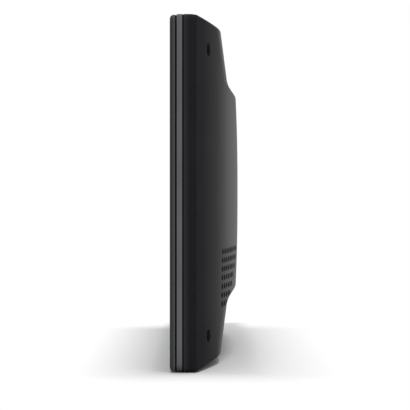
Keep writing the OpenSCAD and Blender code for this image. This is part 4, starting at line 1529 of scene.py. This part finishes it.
def floor_finish(stage):
    """White floor that keeps the shadow and shows white to the camera, to metal and to glass."""
    material = bpy.data.materials.new("studio_floor")
    material.use_nodes = True
    shader = Shader(material.node_tree)
    seen = seen_rays(shader)
    place = shader.node("ShaderNodeTexCoord", {}, {}, "Object")
    x, y = [shader.node("ShaderNodeSeparateXYZ", {}, {0: place}, axis) for axis in "XY"]

    def clear_of(past_ends, reach):
        """Nought beneath the body and between two ends, rising to one at a reach outside them."""
        off = [wire.maths("MAXIMUM", wire, 0.0) for wire in (past_ends, abs(y) - cad_high.y)]
        away = off[0].maths("SQRT", off[0] * off[0] + off[1] * off[1]) * (1 / reach)
        return away.maths("MINIMUM", away, 1.0)

    open_floor = clear_of(x.maths("MAXIMUM", x - cad_high.x, -stage.shade_far - x), stage.fade)
    open_floor = open_floor * clear_of(abs(x) - cad_high.x, stage.contact)
    tone = stage.paper + seen * (stage.white - stage.paper)
    paper = shader.node("ShaderNodeBsdfDiffuse", {}, {"Color": tone})
    white = shader.node("ShaderNodeEmission", {}, {"Color": WHITE, "Strength": 1.0})
    both = shader.node("ShaderNodeMixShader", {}, {0: seen * open_floor, 1: paper, 2: white})
    shader.node("ShaderNodeOutputMaterial", {}, {"Surface": both})
    return material


def studio_world(stage):
    """Even light from all round, which shows white to the camera, to metal and to glass."""
    world = bpy.data.worlds.new("studio")
    world.use_nodes = True
    shader = Shader(world.node_tree)
    strength = stage.dome + seen_rays(shader) * (1.0 - stage.dome)
    sky = shader.node("ShaderNodeBackground", {}, {"Color": WHITE, "Strength": strength})
    shader.node("ShaderNodeOutputWorld", {}, {"Surface": sky})
    return world


def studio_floor(stage):
    """Wide floor at the foot of the body."""
    half = stage.floor_w / 2
    corners = ((-half, -half), (half, -half), (half, half), (-half, half))
    bm = bmesh.new()
    bm.faces.new([bm.verts.new((x, y, cad_low.z)) for x, y in corners])
    mesh = mesh_from("studio_floor", bm)
    mesh.materials.append(floor_finish(stage))
    placed("studio_floor", mesh)


def softbox(stage):
    """Overhead lamp that no gloss shows."""
    lamp = bpy.data.lights.new("softbox", "AREA")
    lamp.shape = "RECTANGLE"
    lamp.size, lamp.size_y = stage.lamp_l, stage.lamp_w
    lamp.energy = stage.lamp
    made = placed("softbox", lamp)
    made.location = (0.0, stage.lamp_y, stage.lamp_z)
    made.visible_glossy = False


def camera(stage):
    """Level camera that looks along the body's width."""
    lens = bpy.data.cameras.new("camera")
    lens.lens, lens.shift_y = stage.lens, stage.horizon
    lens.clip_start = CAMERA_NEAR
    made = placed("camera", lens)
    made.location = (stage.camera_x, stage.camera_y, stage.camera_z)
    made.rotation_euler = (math.pi / 2, 0.0, math.pi / 2)
    bpy.context.scene.camera = made


class DISPLAY_OT_stage(bpy.types.Operator):
    """White floor, even light, overhead softbox and the camera"""
    bl_idname = "display.stage"
    bl_label = "Stage"

    def execute(self, context):
        scene = context.scene
        stage = scene.display_dressing.stage
        scene.view_settings.view_transform = "Standard"
        scene.world = studio_world(stage)
        studio_floor(stage)
        softbox(stage)
        camera(stage)
        return {"FINISHED"}


# Add-on

OPERATORS = (DISPLAY_OT_inner_parts, DISPLAY_OT_cover_glass, DISPLAY_OT_middle_frame, DISPLAY_OT_rear_shell,
             DISPLAY_OT_shell_screws, DISPLAY_OT_power_button, DISPLAY_OT_ball_socket,
             DISPLAY_OT_charging_socket, DISPLAY_OT_memory_card, DISPLAY_OT_stage)


class DISPLAY_PT_dressing(bpy.types.Panel):
    """Lists the pieces and the stage"""
    bl_label = "Driver display"
    bl_idname = "DISPLAY_PT_dressing"
    bl_space_type = "VIEW_3D"
    bl_region_type = "UI"
    bl_category = "Display"

    def draw(self, context):
        for operator in OPERATORS:
            self.layout.operator(operator.bl_idname)


GROUPS = (BackSizes, GrilleSizes, FrontSizes, FittingSizes, BallSizes, Finishes, StageSizes,
          DisplayDressing)
CLASSES = GROUPS + OPERATORS + (DISPLAY_PT_dressing,)


def register():
    for item in CLASSES:
        bpy.utils.register_class(item)
    bpy.types.Scene.display_dressing = bpy.props.PointerProperty(type=DisplayDressing)


def unregister():
    del bpy.types.Scene.display_dressing
    for item in reversed(CLASSES):
        bpy.utils.unregister_class(item)


def main():
    register()
    bpy.ops.display.inner_parts()
    bpy.ops.display.cover_glass()
    bpy.ops.display.middle_frame()
    bpy.ops.display.rear_shell()
    bpy.ops.display.shell_screws()
    bpy.ops.display.power_button()
    bpy.ops.display.ball_socket()
    bpy.ops.display.charging_socket()
    bpy.ops.display.memory_card()
    bpy.ops.display.stage()


if __name__ == "__main__":
    main()
